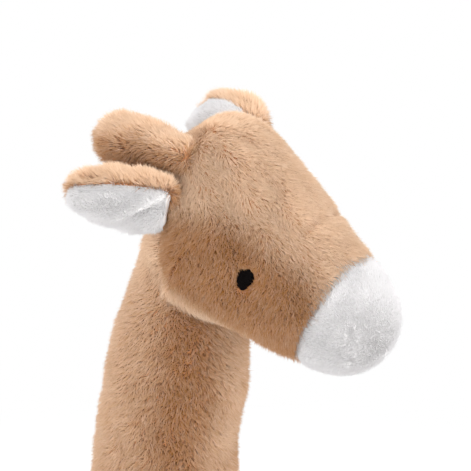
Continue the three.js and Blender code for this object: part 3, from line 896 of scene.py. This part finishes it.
class GIRAFFE_OT_head(bpy.types.Operator):
    """Sews the head and the muzzle and grows their pile"""

    bl_idname = "giraffe.head"
    bl_label = "Head"

    def execute(self, context):
        size = sizes()
        whole = stuffed_skin("head_whole", head_form(), CROWN, (FORWARD, Y, UP), (200, 170), head_fullness)
        shape_head(whole)
        seam = on_head(MUZZLE_SEAM, 0, 0)
        muzzle, head = cut_apart(whole, ("muzzle_plush", "head_plush"), seam, SEAM_NORMAL)
        dress(head, TAN, "head", ("head_cover", "head_stuffing"))
        dress(muzzle, WHITE, "head", ("muzzle_cover",))
        tan = Coat(size.pile_length, size.strand_width, (0.65, 1.08), nap_of_head, size.lock_size,
                   swirl=0.35, curl=0.6, lying=lying_on_head)
        grow("head_pile", head, TAN, "head", tan, density=10.0, seed=11,
             keep=lambda at: clear_of_eyes(at) & tan_at_seam(at), trim=eye_clearance, parts_along=FORWARD)
        white = Coat(size.muzzle_pile, 0.8 * size.strand_width, (1.05, 1.1), -FORWARD, 0.8 * size.lock_size,
                     pull=0.2, tousle=0.2, swirl=0.35, curl=0.1)
        grow("muzzle_pile", muzzle, WHITE, "head", white, density=13.0, seed=21, trim=white_at_seam)
        return {"FINISHED"}


# Eyes

EYE_TILT = math.radians(20)
EYE_HALF_WIDTH = 2.6 * MM
EYE_BESIDE = 24 * MM
EYE_SUNK = 0.1 * MM
EYE_LIFT = 1.3 * MM
EYE_THREADS = 22
THREAD_SLANT = 0.25
THREAD_RELIEF = 0.45
RAGGED_ENDS = 0.2
RAGGED_STEP = 2.3

# The pile is bare up to this squared distance from an eye's middle, and short in a ring round it
EYE_BARE = 0.75
SHORT_PILE = 0.3
SHORT_RING = (1.05, 1.9)

# How far the eye's outline departs from an oval, by direction in degrees
EYE_BEND = [
    (-180, 1.0), (-164, 0.99), (-131, 1.05), (-101, 1.0), (-75, 0.87), (-38, 0.68), (1, 0.87), (19, 1.07),
    (43, 1.11), (77, 1.03), (102, 0.93), (113, 0.83), (139, 1.09), (158, 1.05), (180, 1.0)]


def eye_bend(level, upright):
    turn = np.degrees(np.arctan2(upright, level))
    return np.interp(turn, *np.array(EYE_BEND).T)


def eye_axes():
    turn = Matrix.Rotation(-EYE_TILT, 3, "Y")
    return np.array(turn @ Vector(FORWARD)), np.array(turn @ Vector(UP))


def eye_distance(points, side):
    """Squared distance from an eye's middle, where 1 is its outline."""
    across, high = eye_axes()
    away = points - on_head(EYE_REACH, side * EYE_BESIDE, EYE_RISE)
    level = away @ across / EYE_HALF_WIDTH
    upright = away @ high / (sizes().eye_height / 2)
    gap = (level ** 2 + upright ** 2) / eye_bend(level, upright) ** 2
    return np.where(away @ Y * side > -EYE_BESIDE / 2, gap, 99)


def clear_of_eyes(points):
    return (eye_distance(points, 1) > EYE_BARE) & (eye_distance(points, -1) > EYE_BARE)


def eye_clearance(points):
    """Shortens the pile where it would cover an eye."""
    keep = np.ones(len(points))
    for side in SIDES.values():
        gap = np.sqrt(eye_distance(points, side))
        keep = np.minimum(keep, SHORT_PILE + (1 - SHORT_PILE) * smooth_step(*SHORT_RING, gap))
    return keep


def stitch_eye(side_name):
    """A flattened ball with slanting ridges of thread and ragged ends."""
    side = SIDES[side_name]
    across, high = eye_axes()
    eye = add_ball(f"stitched_eye_{side_name}", 64, 96)
    level, outward, upright = coordinates(eye).T
    slant = upright + THREAD_SLANT * level
    thread = np.abs(np.sin(slant * math.pi * EYE_THREADS / 2))
    row = np.floor(slant * EYE_THREADS / 2)
    ragged = 1 + RAGGED_ENDS * np.sin(row * RAGGED_STEP + np.sign(level))
    bend = eye_bend(level, upright)
    lift = EYE_LIFT * outward * (1 - THREAD_RELIEF + THREAD_RELIEF * thread)
    middle = on_skin(EYE_REACH, EYE_RISE, side, EYE_SUNK)
    points = middle + np.outer(EYE_HALF_WIDTH * level * ragged * bend, across)
    move_to(eye, points + np.outer(sizes().eye_height / 2 * upright * bend, high) + np.outer(lift, Y))
    bpy.ops.object.mode_set(mode="EDIT")
    bpy.ops.mesh.select_all(action="SELECT")
    bpy.ops.mesh.normals_make_consistent(inside=False)
    bpy.ops.object.mode_set(mode="OBJECT")
    bpy.ops.object.shade_smooth()
    dress(eye, THREAD, "head", (f"eye_{side_name}",))


class GIRAFFE_OT_eyes(bpy.types.Operator):
    """Stitches an eye on each side of the head"""

    bl_idname = "giraffe.eyes"
    bl_label = "Eyes"

    def execute(self, context):
        for side_name in SIDES:
            stitch_eye(side_name)
        return {"FINISHED"}


# Ears

# How each ear lies, with angles in degrees and sizes in millimetres. root and tip are the bluntness of
# its ends, 1 being the sharpest. wrap and wrap_slant are how far the back comes round over the lining at
# the root, and less towards the tip. fold is how deep the lining is folded, and lobe how far it hangs below
EAR_LIE = {
    "right": {"back": 56, "up": 8, "roll": -42, "width": 28, "thickness": 21, "shift": (-0.5, 3, 0),
              "root": 0.22, "tip": 0.34, "wrap": 0, "wrap_slant": 0, "fold": 2.8, "lobe": 4.5},
    "left": {"back": 82, "up": -13, "roll": 76, "width": 22, "thickness": 23.5, "shift": (-0.7, 0.2, 5.2),
             "root": 0.56, "tip": 0.86, "wrap": 3.5, "wrap_slant": 14, "fold": 0, "lobe": 0},
}
EAR_LENGTH = 36 * MM
EAR_START = 2 * MM
EAR_SWELL = 0.85
EAR_FOLD = [(2, -9.2), (4, -8.7), (8, -8.1), (13, -5.6), (18, -0.7)]
RIM_DEPTH = 0.9 * MM
RIM_BREADTH = 1.6 * MM

# Where the groove of the rim, the fold and the lobe below it start, and where they are whole
RIM_REACH = (0, 8 * MM)
FOLD_REACH = (21 * MM, 9 * MM)
FOLD_HEIGHT = (-1 * MM, 3 * MM)
FOLD_STEP = (-0.2 * MM, 0.8 * MM)
FOLD_END = (13 * MM, 2 * MM)
LOBE_REACH = (28 * MM, 9 * MM)
LOBE_DROP = (4 * MM, 13 * MM)

# The pile is shorter beside the fold, and there is none at the root of the lining
FOLD_BARE = 0.7
BARE_PLACE = 0.6 * MM
BARE_BREADTH = 1.3 * MM
BARE_ROOT = 3.5 * MM

# The pile of an ear is combed towards its tip and, beyond the parting in its middle, towards its edges
TIPWARDS = 0.8
EDGEWARDS = 0.9
EAR_PARTING = 6 * MM


def ear_directions(side_name):
    """Along an ear, across it, and out of its lining."""
    lie = EAR_LIE[side_name]
    side = SIDES[side_name]
    back, up, roll = (math.radians(lie[key]) for key in ("back", "up", "roll"))
    along = np.array([-math.sin(back) * math.cos(up), side * math.cos(back) * math.cos(up), math.sin(up)])
    level = side * unit(np.cross(Z, along))
    down = unit(np.cross(along, level))
    down = -down if down[2] > 0 else down
    lining = math.cos(roll) * down + math.sin(roll) * level
    return along, unit(np.cross(lining, along)), lining


def ear_form(lie):
    """A leaf that is widest nearer its root."""
    share = np.linspace(0, 1, 300)
    wave = np.sin(math.pi * share ** EAR_SWELL)
    swell = wave ** (lie["root"] + (lie["tip"] - lie["root"]) * smooth_step(0.3, 0.6, share))
    length = EAR_LENGTH - SKIN_INSET - EAR_START
    half_width = (lie["width"] * MM / 2 - SKIN_INSET) * swell
    half_thick = (lie["thickness"] * MM / 2 - SKIN_INSET) * swell
    return EAR_START + length * share, half_width, half_thick, np.zeros_like(share)


def sew_ear(side_name, number):
    size = sizes()
    lie = EAR_LIE[side_name]
    root = JOINTS[f"flap_{side_name}"] + MM * np.array(lie["shift"])
    along, across, lining = ear_directions(side_name)
    low = across * np.sign(-across[2])

    def beyond_fold(at):
        """How far points lie below the fold that runs out from the root, and how much of it is there."""
        away = at - root
        reach = away @ along
        fade = smooth_step(*FOLD_REACH, reach) * smooth_step(*FOLD_HEIGHT, away @ lining)
        return away @ low - along_stops(reach, EAR_FOLD), fade

    def outwards(at):
        """The pile lies towards the tip and the edges."""
        beside = np.clip((at - root) @ across / EAR_PARTING, -1, 1)
        return TIPWARDS * along + EDGEWARDS * np.outer(beside, across)

    def beside_fold(at):
        """Shortens the pile beside the fold."""
        below, fade = beyond_fold(at)
        return 1 - FOLD_BARE * (lie["fold"] > 0) * fade * hump(below - BARE_PLACE, BARE_BREADTH)

    leaf = stuffed_skin(f"ear_{side_name}", ear_form(lie), root, (along, across, lining), (96, 90))
    points = coordinates(leaf)
    reach = (points - root) @ along
    push = -RIM_DEPTH * hump((points - root) @ lining, RIM_BREADTH) * smooth_step(*RIM_REACH, reach)
    push += uneven(points, 0.3, 13, 31 + number)
    below, fade = beyond_fold(points)
    step = smooth_step(*FOLD_STEP, below) * smooth_step(*FOLD_END, below)
    push -= lie["fold"] * MM * fade * step
    lobe = lie["lobe"] * MM * smooth_step(*LOBE_REACH, reach) * smooth_step(*LOBE_DROP, below)
    press(leaf, push, np.outer(lobe, low))

    slant = math.radians(lie["wrap_slant"])
    names = (f"ear_lining_plush_{side_name}", f"ear_back_plush_{side_name}")
    seam = root + lie["wrap"] * MM * lining
    white, tan = cut_apart(leaf, names, seam, math.cos(slant) * lining + math.sin(slant) * along)
    body = f"ear_{side_name}"
    dress(white, WHITE, body, (f"ear_lining_{side_name}",))
    dress(tan, TAN, body, (f"ear_back_{side_name}",))
    white_coat = Coat(0.65 * size.pile_length, 0.85 * size.strand_width, (1.05, 1.05), outwards,
                      0.8 * size.lock_size, pull=0.2, tousle=0.2, swirl=0.4, curl=0.1)
    grow(f"ear_lining_pile_{side_name}", white, WHITE, body, white_coat, density=9.0, seed=41 + number,
         keep=lambda at: (at - root) @ along > BARE_ROOT, trim=beside_fold)
    tan_coat = Coat(1.05 * size.pile_length, size.strand_width, (0.55, 0.75), outwards, size.lock_size)
    grow(f"ear_back_pile_{side_name}", tan, TAN, body, tan_coat, density=9.0, seed=51 + number)


class GIRAFFE_OT_ears(bpy.types.Operator):
    """Sews each ear from a white lining and a tan back"""

    bl_idname = "giraffe.ears"
    bl_label = "Ears"

    def execute(self, context):
        for number, side_name in enumerate(SIDES):
            sew_ear(side_name, number)
        return {"FINISHED"}


# Horns

# How each horn lies, with angles in degrees and sizes in millimetres
HORN_LIE = {
    "right": {"up": 3, "inwards": 0, "shift": (1.0, -4.4, 2.8)},
    "left": {"up": -6, "inwards": 8, "shift": (0, 0, -4.5)},
}
HORN_LENGTH = 25 * MM
HORN_SWELL = 17 * MM
HORN_KNOB = 9.8 * MM
HORN_STEM = 7.3 * MM
HORN_TAPER = 0.9


def horn_form():
    knob = HORN_KNOB - SKIN_INSET
    stem = HORN_STEM - SKIN_INSET
    share = np.linspace(0, 1, 40)
    dome = np.linspace(0, math.pi / 2, 30)
    along = np.concatenate([[-3 * MM, -2 * MM], HORN_SWELL * share, HORN_LENGTH + knob * np.sin(dome)])
    shaft = stem + (knob - stem) * share ** HORN_TAPER
    radius = np.concatenate([[0, 0.9 * stem], shaft, knob * np.cos(dome)])
    return along, radius, radius, np.zeros_like(along)


# The pile lies down on top of the horn and stands up on its sides and below, where its colour is painted
# darker as shade
def lying_on_horn(points, facing):
    return 0.25 + 0.65 * smooth_step(0.05, 0.95, facing[:, 2])


def sew_horn(side_name, number):
    size = sizes()
    lie = HORN_LIE[side_name]
    up, inwards = (math.radians(lie[key]) for key in ("up", "inwards"))
    along = np.array([
        -math.cos(up) * math.cos(inwards), -SIDES[side_name] * math.sin(inwards), math.sin(up)])
    wide = unit(np.cross(Z, along))
    root = JOINTS[f"bend_{side_name}"] + MM * np.array(lie["shift"])
    skin = stuffed_skin(
        f"horn_plush_{side_name}", horn_form(), root, (along, wide, np.cross(along, wide)), (72, 72))
    press(skin, uneven(coordinates(skin), 0.45, 11, 61 + number))
    body = f"horn_{side_name}"
    dress(skin, TAN, body, (f"horn_cover_{side_name}", f"horn_stuffing_{side_name}"))
    coat = Coat(size.pile_length, size.strand_width, (0.5, 0.95), along, size.lock_size, swirl=0.8, curl=0.8,
                lying=lying_on_horn)
    grow(f"horn_pile_{side_name}", skin, TAN, body, coat, density=9.0, seed=71 + number)


class GIRAFFE_OT_horns(bpy.types.Operator):
    """Sews the two soft horns with their round knobs"""

    bl_idname = "giraffe.horns"
    bl_label = "Horns"

    def execute(self, context):
        for number, side_name in enumerate(SIDES):
            sew_horn(side_name, number)
        return {"FINISHED"}


# Neck and body

NECK_TOP = CROWN + np.array([-15 * MM, 0, -12 * MM])
BODY_X = (JOINTS["swing_front_left"][0] + JOINTS["swing_rear_left"][0]) / 2
BODY_HEIGHT = 152 * MM
NECK_BASE = np.array([BODY_X + 34 * MM, CROWN[1], BODY_HEIGHT])

# The neck swells from its top to its middle and flares from there to the chest
NECK_TOP_RADIUS = 16.5 * MM
NECK_RADIUS = 24.6 * MM
NECK_FLARE = 8.8 * MM
NECK_SWELL_DROP = 52 * MM
NECK_DOME = 12 * MM
NECK_BEND = 3.0 * MM
NECK_BEND_DROP = 75 * MM
NECK_BEND_BREADTH = 36 * MM

RUMP_RADIUS = 38 * MM
WAIST_RADIUS = 36 * MM
CHEST_RADIUS = 40 * MM
RUMP_X = -36 * MM
CHEST_X = 34 * MM
BODY_NARROWING = 0.93
BODY_RISE = 8 * MM
BODY_LENGTH = 148 * MM

# How far the pile of the neck stands up, and the band at the throat where it stands up wholly and its colour
# is painted darkest as shade
STANDING = 0.4
BAND_FACING = 0.6
BAND_BREADTH = 0.42
BAND_SIDE = (0.05, 0.55)

# The pile of the neck grows finer between these drops from its top, and starts above the chest
COARSE_DROP = 125 * MM
FINE_DROP = 72 * MM
CHEST_TOP = BODY_HEIGHT + 26 * MM


def neck_form():
    run = np.linalg.norm(NECK_BASE - NECK_TOP)
    share = np.linspace(0, 1, 120)
    middle = NECK_SWELL_DROP / (NECK_TOP[2] - NECK_BASE[2])
    upper = eased(NECK_TOP_RADIUS, NECK_RADIUS, np.clip(share / middle, 0, 1) ** 0.65)
    lower = NECK_FLARE * np.clip((share - middle) / (1 - middle), 0, 1) ** 2.4
    radius = upper + lower - SKIN_INSET
    dome = np.linspace(math.pi / 2, 0, 16)[:-1]
    along = np.concatenate([-NECK_DOME * np.sin(dome), run * share, [run + 1 * MM]])
    size = np.concatenate([radius[0] * np.cos(dome).clip(0) ** 0.75, radius, [0]])
    return along, size, size, np.zeros_like(along)


def body_form():
    rump, waist, chest = (radius - SKIN_INSET for radius in (RUMP_RADIUS, WAIST_RADIUS, CHEST_RADIUS))
    turn = np.linspace(0, math.pi / 2, 40)
    share = np.linspace(0, 1, 60)[1:-1]
    middle = np.where(share < 0.5, eased(rump, waist, share * 2), eased(waist, chest, share * 2 - 1))
    along = np.concatenate([
        RUMP_X - rump * np.cos(turn), RUMP_X + (CHEST_X - RUMP_X) * share, CHEST_X + chest * np.sin(turn)])
    radius = np.concatenate([rump * np.sin(turn), middle, chest * np.cos(turn)])
    return along, BODY_NARROWING * radius, radius, BODY_RISE * along / BODY_LENGTH


def lying_on_neck(points, facing):
    """The pile stands up in a band down each side of the throat, where its colour is also painted darker as
    shade.
    """
    band = hump(facing[:, 0] - BAND_FACING, BAND_BREADTH) * smooth_step(*BAND_SIDE, np.abs(facing[:, 1]))
    drop = smooth_step(NECK_TOP[2] + 5 * MM, NECK_TOP[2] - 15 * MM, points[:, 2])
    return 1 - (STANDING + (1 - STANDING) * band) * drop


def fine_share(points):
    """Finer pile at the top of the neck, giving way to broader locks below."""
    return smooth_step(NECK_TOP[2] - COARSE_DROP, NECK_TOP[2] - FINE_DROP, points[:, 2])


class GIRAFFE_OT_trunk(bpy.types.Operator):
    """Sews the neck and the body and grows their pile"""

    bl_idname = "giraffe.trunk"
    bl_label = "Neck and body"

    def execute(self, context):
        size = sizes()
        run = unit(NECK_BASE - NECK_TOP)
        neck = stuffed_skin("neck_plush", neck_form(), NECK_TOP, (run, Y, np.cross(run, Y)), (128, 150))
        middle = np.array([BODY_X, CROWN[1], BODY_HEIGHT])
        body = stuffed_skin("body_plush", body_form(), middle, (X, Y, Z), (128, 120))
        for part, skin, cloth, seed in (("neck", neck, TAN, 81), ("body", body, FELT, 82)):
            points = coordinates(skin)
            push = uneven(points, 0.5, 40, seed) + uneven(points, 0.15, 16, seed + 10)
            bend = NECK_BEND * hump(points[:, 2] - NECK_TOP[2] + NECK_BEND_DROP, NECK_BEND_BREADTH)
            press(skin, push, -np.outer(bend, X))
            dress(skin, cloth, "torso", (f"{part}_cover", f"{part}_stuffing"))
        fine = Coat(size.pile_length, size.strand_width, (0.55, 0.9), -Z - 0.25 * X, size.lock_size,
                    swirl=0.6, curl=0.8, lying=lying_on_neck, breadth=lambda at: 2.2 - 1.2 * fine_share(at))
        grow("neck_pile", neck, TAN, "torso", fine, density=lambda at: 1.5 + 5.0 * fine_share(at), seed=91,
             keep=lambda at: (at[:, 2] > CHEST_TOP) & outside_head(at), parts_along=Z)
        coarse = Coat(1.1 * size.pile_length, 2.3 * size.strand_width, (0.75, 0.95), -Z - X,
                      2 * size.lock_size, swirl=0.4)
        grow("body_pile", body, FELT, "torso", coarse, density=1.4, seed=93)
        return {"FINISHED"}


# Legs and soles

HIP_RADIUS = 17 * MM
THIGH_RADIUS = 16 * MM
SHIN_RADIUS = 14 * MM
FOOT_RADIUS = 17 * MM
SHIN_DROP = 72 * MM
FOOT_DROP = 111 * MM
FLOOR_DROP = 127 * MM
SOLE_GAP = 2.2 * MM
FOOT_CORNER = 5 * MM
BARE_FOOT = 4 * MM
EVEN_FOOT = (4 * MM, 20 * MM)

# (height, radius) stations of a sole in millimetres
SOLE_PROFILE = [(0, 0), (0, 13.2), (0.4, 13.9), (1.6, 14.4), (2.6, 14.2), (3, 13), (3, 0)]


def leg_form():
    hip, thigh, shin, foot = (
        radius - SKIN_INSET for radius in (HIP_RADIUS, THIGH_RADIUS, SHIN_RADIUS, FOOT_RADIUS))
    dome_end = math.pi - math.asin(thigh / hip)
    turn = np.linspace(0, dome_end, 40)
    thigh_drop = hip - hip * math.cos(dome_end)
    shin_drop = hip + SHIN_DROP
    foot_drop = hip + FOOT_DROP
    floor_drop = hip + FLOOR_DROP - SOLE_GAP
    share = np.linspace(0, 1, 30)[1:]
    edge = np.linspace(0, math.pi / 2, 20)[1:]
    along = np.concatenate([
        hip - hip * np.cos(turn), thigh_drop + (shin_drop - thigh_drop) * share,
        shin_drop + (foot_drop - shin_drop) * share, floor_drop - FOOT_CORNER + FOOT_CORNER * np.sin(edge),
        [floor_drop]])
    radius = np.concatenate([
        hip * np.sin(turn), eased(thigh, shin, share), eased(shin, foot, share),
        foot - FOOT_CORNER + FOOT_CORNER * np.cos(edge), [0]])
    return along, radius, radius, np.zeros_like(along)


def sew_leg(name, seed):
    size = sizes()
    hip = JOINTS[f"swing_{name}"]
    top = hip + (HIP_RADIUS - SKIN_INSET) * Z
    skin = stuffed_skin(f"leg_plush_{name}", leg_form(), top, (-Z, X, -Y), (80, 110))
    points = coordinates(skin)
    press(skin, uneven(points, 0.6, 24, seed) * smooth_step(*EVEN_FOOT, points[:, 2]))
    body = f"leg_{name}"
    dress(skin, FELT, body, (f"leg_cover_{name}", f"leg_stuffing_{name}"))
    coat = Coat(size.pile_length, 2.2 * size.strand_width, (0.8, 0.9), -Z, 2 * size.lock_size)
    grow(f"leg_pile_{name}", skin, FELT, body, coat, density=1.4, seed=seed,
         keep=lambda at: at[:, 2] > BARE_FOOT)
    sole = stuffed_skin(
        f"sole_plush_{name}", round_form(SOLE_PROFILE), np.array([hip[0], hip[1], 0]), (Z, X, Y), (64, 40))
    dress(sole, FELT, body, (f"sole_{name}",))


class GIRAFFE_OT_legs(bpy.types.Operator):
    """Sews four legs with flat soles"""

    bl_idname = "giraffe.legs"
    bl_label = "Legs"

    def execute(self, context):
        for seed, (end_name, side_name) in enumerate(itertools.product(ENDS, SIDES), start=100):
            sew_leg(f"{end_name}_{side_name}", seed)
        return {"FINISHED"}


# Tail

# (drop, radius) stations of the cord and the tuft in millimetres, from the tail's root
CORD_PROFILE = [(-3, 0), (-2.4, 1.6), (-1, 2.4), (2, 2.6), (36, 2.1), (37, 1.2), (37.2, 0)]
TUFT_PROFILE = [(36, 0), (36.6, 1.6), (40, 2.6), (46, 3.2), (50, 2.6), (52.5, 1.2), (53, 0)]

# The root of the cord bends this far into the rump, between these drops
TAIL_BEND = 7 * MM
TAIL_BEND_DROP = (14 * MM, -3 * MM)


def sew_tail_part(name, node, profile, fineness, cloth):
    root = JOINTS["tail_swing"]
    skin = stuffed_skin(name, round_form(profile), root, (-Z, X, -Y), fineness)
    points = coordinates(skin)
    rootward = smooth_step(*TAIL_BEND_DROP, root[2] - points[:, 2])
    move_to(skin, points + np.outer(TAIL_BEND * rootward, X))
    dress(skin, cloth, "tail", (node,))
    return skin


class GIRAFFE_OT_tail(bpy.types.Operator):
    """Sews the thin tail and its white tuft"""

    bl_idname = "giraffe.tail"
    bl_label = "Tail"

    def execute(self, context):
        size = sizes()
        cord = sew_tail_part("tail_plush", "tail_cord", CORD_PROFILE, (40, 80), TAN)
        tuft = sew_tail_part("tuft_plush", "tail_tuft", TUFT_PROFILE, (40, 40), WHITE)
        short = Coat(0.6 * size.pile_length, 0.4 * MM, (0.95, 0.95), -Z, size.lock_size, swirl=0.3)
        grow("tail_plush_pile", cord, TAN, "tail", short, density=6.0, seed=131)
        long = Coat(size.tuft_length, 0.5 * MM, (0.55, 0.55), -Z, size.lock_size, swirl=0.3)
        grow("tuft_plush_pile", tuft, WHITE, "tail", long, density=8.0, seed=131)
        return {"FINISHED"}


# Stage

VIEW_AZIMUTH = math.radians(31)
VIEW_ELEVATION = math.radians(20)
PIXEL = 0.32 * MM
PICTURE_WIDTH = 471
CROWN_PIXEL = (230, 225)
LENS = 180.0
SENSOR = 36.0
FLOOR_SIZE = 60
DAYLIGHT = 1.75
LAMP_SIZE = 0.8
LAMP_AIM = CROWN - 40 * MM * Z

# The place of each lamp in metres and its power in watts
LAMPS = {
    "top_light": ((0.15, -0.1, 1.35), 6.0),
    "front_light": ((0.2, -1.15, 0.15), 2.2),
    "right_light": ((1.2, 0.2, 0.35), 2.5),
    "back_light": ((-0.5, 1.1, 0.7), 3.0),
    "left_light": ((-1.1, -0.5, 0.4), 2.2),
}

# The floor turns white for the camera between these distances from the toy
WHITE_START = 0.12
WHITE_END = 0.6


def view_axes():
    right = np.array([math.cos(VIEW_AZIMUTH), math.sin(VIEW_AZIMUTH), 0])
    away = np.array([
        -math.sin(VIEW_AZIMUTH) * math.cos(VIEW_ELEVATION), math.cos(VIEW_AZIMUTH) * math.cos(VIEW_ELEVATION),
        -math.sin(VIEW_ELEVATION)])
    return right, np.cross(right, away), -away


def hold(name, data):
    """A new object in the scene that holds a camera or a lamp."""
    holder = bpy.data.objects.new(name, data)
    bpy.context.scene.collection.objects.link(holder)
    return holder


def add_camera():
    right, up, back = view_axes()
    middle = (PICTURE_WIDTH / 2 - CROWN_PIXEL[0], CROWN_PIXEL[1] - PICTURE_WIDTH / 2)
    target = CROWN + PIXEL * (middle[0] * right + middle[1] * up)
    distance = PIXEL * PICTURE_WIDTH * LENS / SENSOR
    camera = bpy.data.cameras.new("camera")
    camera.lens = LENS
    camera.sensor_width = SENSOR
    holder = hold("camera", camera)
    turn = Matrix((right, up, back)).transposed()
    holder.matrix_world = Matrix.Translation(Vector(target + distance * back)) @ turn.to_4x4()
    bpy.context.scene.camera = holder


def add_lamp(name, place, power):
    lamp = bpy.data.lights.new(name, "AREA")
    lamp.shape = "DISK"
    lamp.size = LAMP_SIZE
    lamp.energy = power
    holder = hold(name, lamp)
    holder.location = place
    holder.rotation_euler = (Vector(LAMP_AIM) - Vector(place)).to_track_quat("-Z", "Y").to_euler()


def floor_material(colour):
    """Pale floor that keeps the toy's shadow near by and turns white for the camera further out."""
    floor, tree, shader = new_material("Pale floor", {"Base Color": opaque(colour), "Roughness": 0.9})
    length = tree.nodes.new("ShaderNodeVectorMath")
    length.operation = "LENGTH"
    feed(tree, object_place(tree), length.inputs[0])
    far = new_node(tree, "ShaderNodeMapRange", {
        "From Min": WHITE_START, "From Max": WHITE_END, "Value": length.outputs["Value"],
    })
    far.interpolation_type = "SMOOTHSTEP"
    seen = tree.nodes.new("ShaderNodeLightPath").outputs["Is Camera Ray"]
    share = math_node(tree, "MULTIPLY", seen, far.outputs["Result"])
    mix = new_node(tree, "ShaderNodeMixShader", {"Fac": share})
    feed(tree, shader.outputs["BSDF"], mix.inputs[1])
    feed(tree, tree.nodes.new("ShaderNodeEmission").outputs["Emission"], mix.inputs[2])
    feed(tree, mix.outputs["Shader"], tree.nodes["Material Output"].inputs["Surface"])
    return floor


def light_world(strength):
    """Even daylight on the toy, seen as plain white by the camera."""
    world = bpy.data.worlds.new("Studio")
    bpy.context.scene.world = world
    world.use_nodes = True
    tree = world.node_tree
    seen = tree.nodes.new("ShaderNodeLightPath").outputs["Is Camera Ray"]
    level = new_node(tree, "ShaderNodeMapRange", {"To Min": strength, "To Max": 1.0, "Value": seen})
    feed_all(tree, tree.nodes["Background"], {"Color": (1, 1, 1, 1), "Strength": level.outputs["Result"]})


class GIRAFFE_OT_stage(bpy.types.Operator):
    """Sets the pale floor, the soft light and the camera"""

    bl_idname = "giraffe.stage"
    bl_label = "Stage"

    def execute(self, context):
        context.scene.view_settings.view_transform = "Standard"
        deselect_all()
        bpy.ops.mesh.primitive_plane_add(size=FLOOR_SIZE, location=(0, 0, 0))
        floor = context.object
        floor.name = "floor"
        floor.data.materials.append(floor_material(colours().floor))
        light_world(DAYLIGHT)
        for name, (place, power) in LAMPS.items():
            add_lamp(name, place, power)
        add_camera()
        return {"FINISHED"}


class GIRAFFE_PT_panel(bpy.types.Panel):
    """Lists the giraffe's steps, sizes and colours"""

    bl_label = "Plush giraffe"
    bl_space_type = "VIEW_3D"
    bl_region_type = "UI"
    bl_category = "Giraffe"

    def draw(self, context):
        for group in (context.scene.giraffe_sizes, context.scene.giraffe_colours):
            for name in group.bl_rna.properties.keys():
                if name not in ("rna_type", "name"):
                    self.layout.prop(group, name)
        for step in STEPS:
            self.layout.operator(step.bl_idname)


STEPS = (
    GIRAFFE_OT_cloths,
    GIRAFFE_OT_stage,
    GIRAFFE_OT_head,
    GIRAFFE_OT_eyes,
    GIRAFFE_OT_ears,
    GIRAFFE_OT_horns,
    GIRAFFE_OT_trunk,
    GIRAFFE_OT_legs,
    GIRAFFE_OT_tail,
)
CLASSES = (GiraffeSizes, GiraffeColours, *STEPS, GIRAFFE_PT_panel)


def register():
    for kind in CLASSES:
        bpy.utils.register_class(kind)
    bpy.types.Scene.giraffe_sizes = bpy.props.PointerProperty(type=GiraffeSizes)
    bpy.types.Scene.giraffe_colours = bpy.props.PointerProperty(type=GiraffeColours)


def unregister():
    del bpy.types.Scene.giraffe_colours
    del bpy.types.Scene.giraffe_sizes
    for kind in reversed(CLASSES):
        bpy.utils.unregister_class(kind)


def main():
    register()
    for step in STEPS:
        area, name = step.bl_idname.split(".")
        getattr(getattr(bpy.ops, area), name)()


if __name__ == "__main__":
    main()
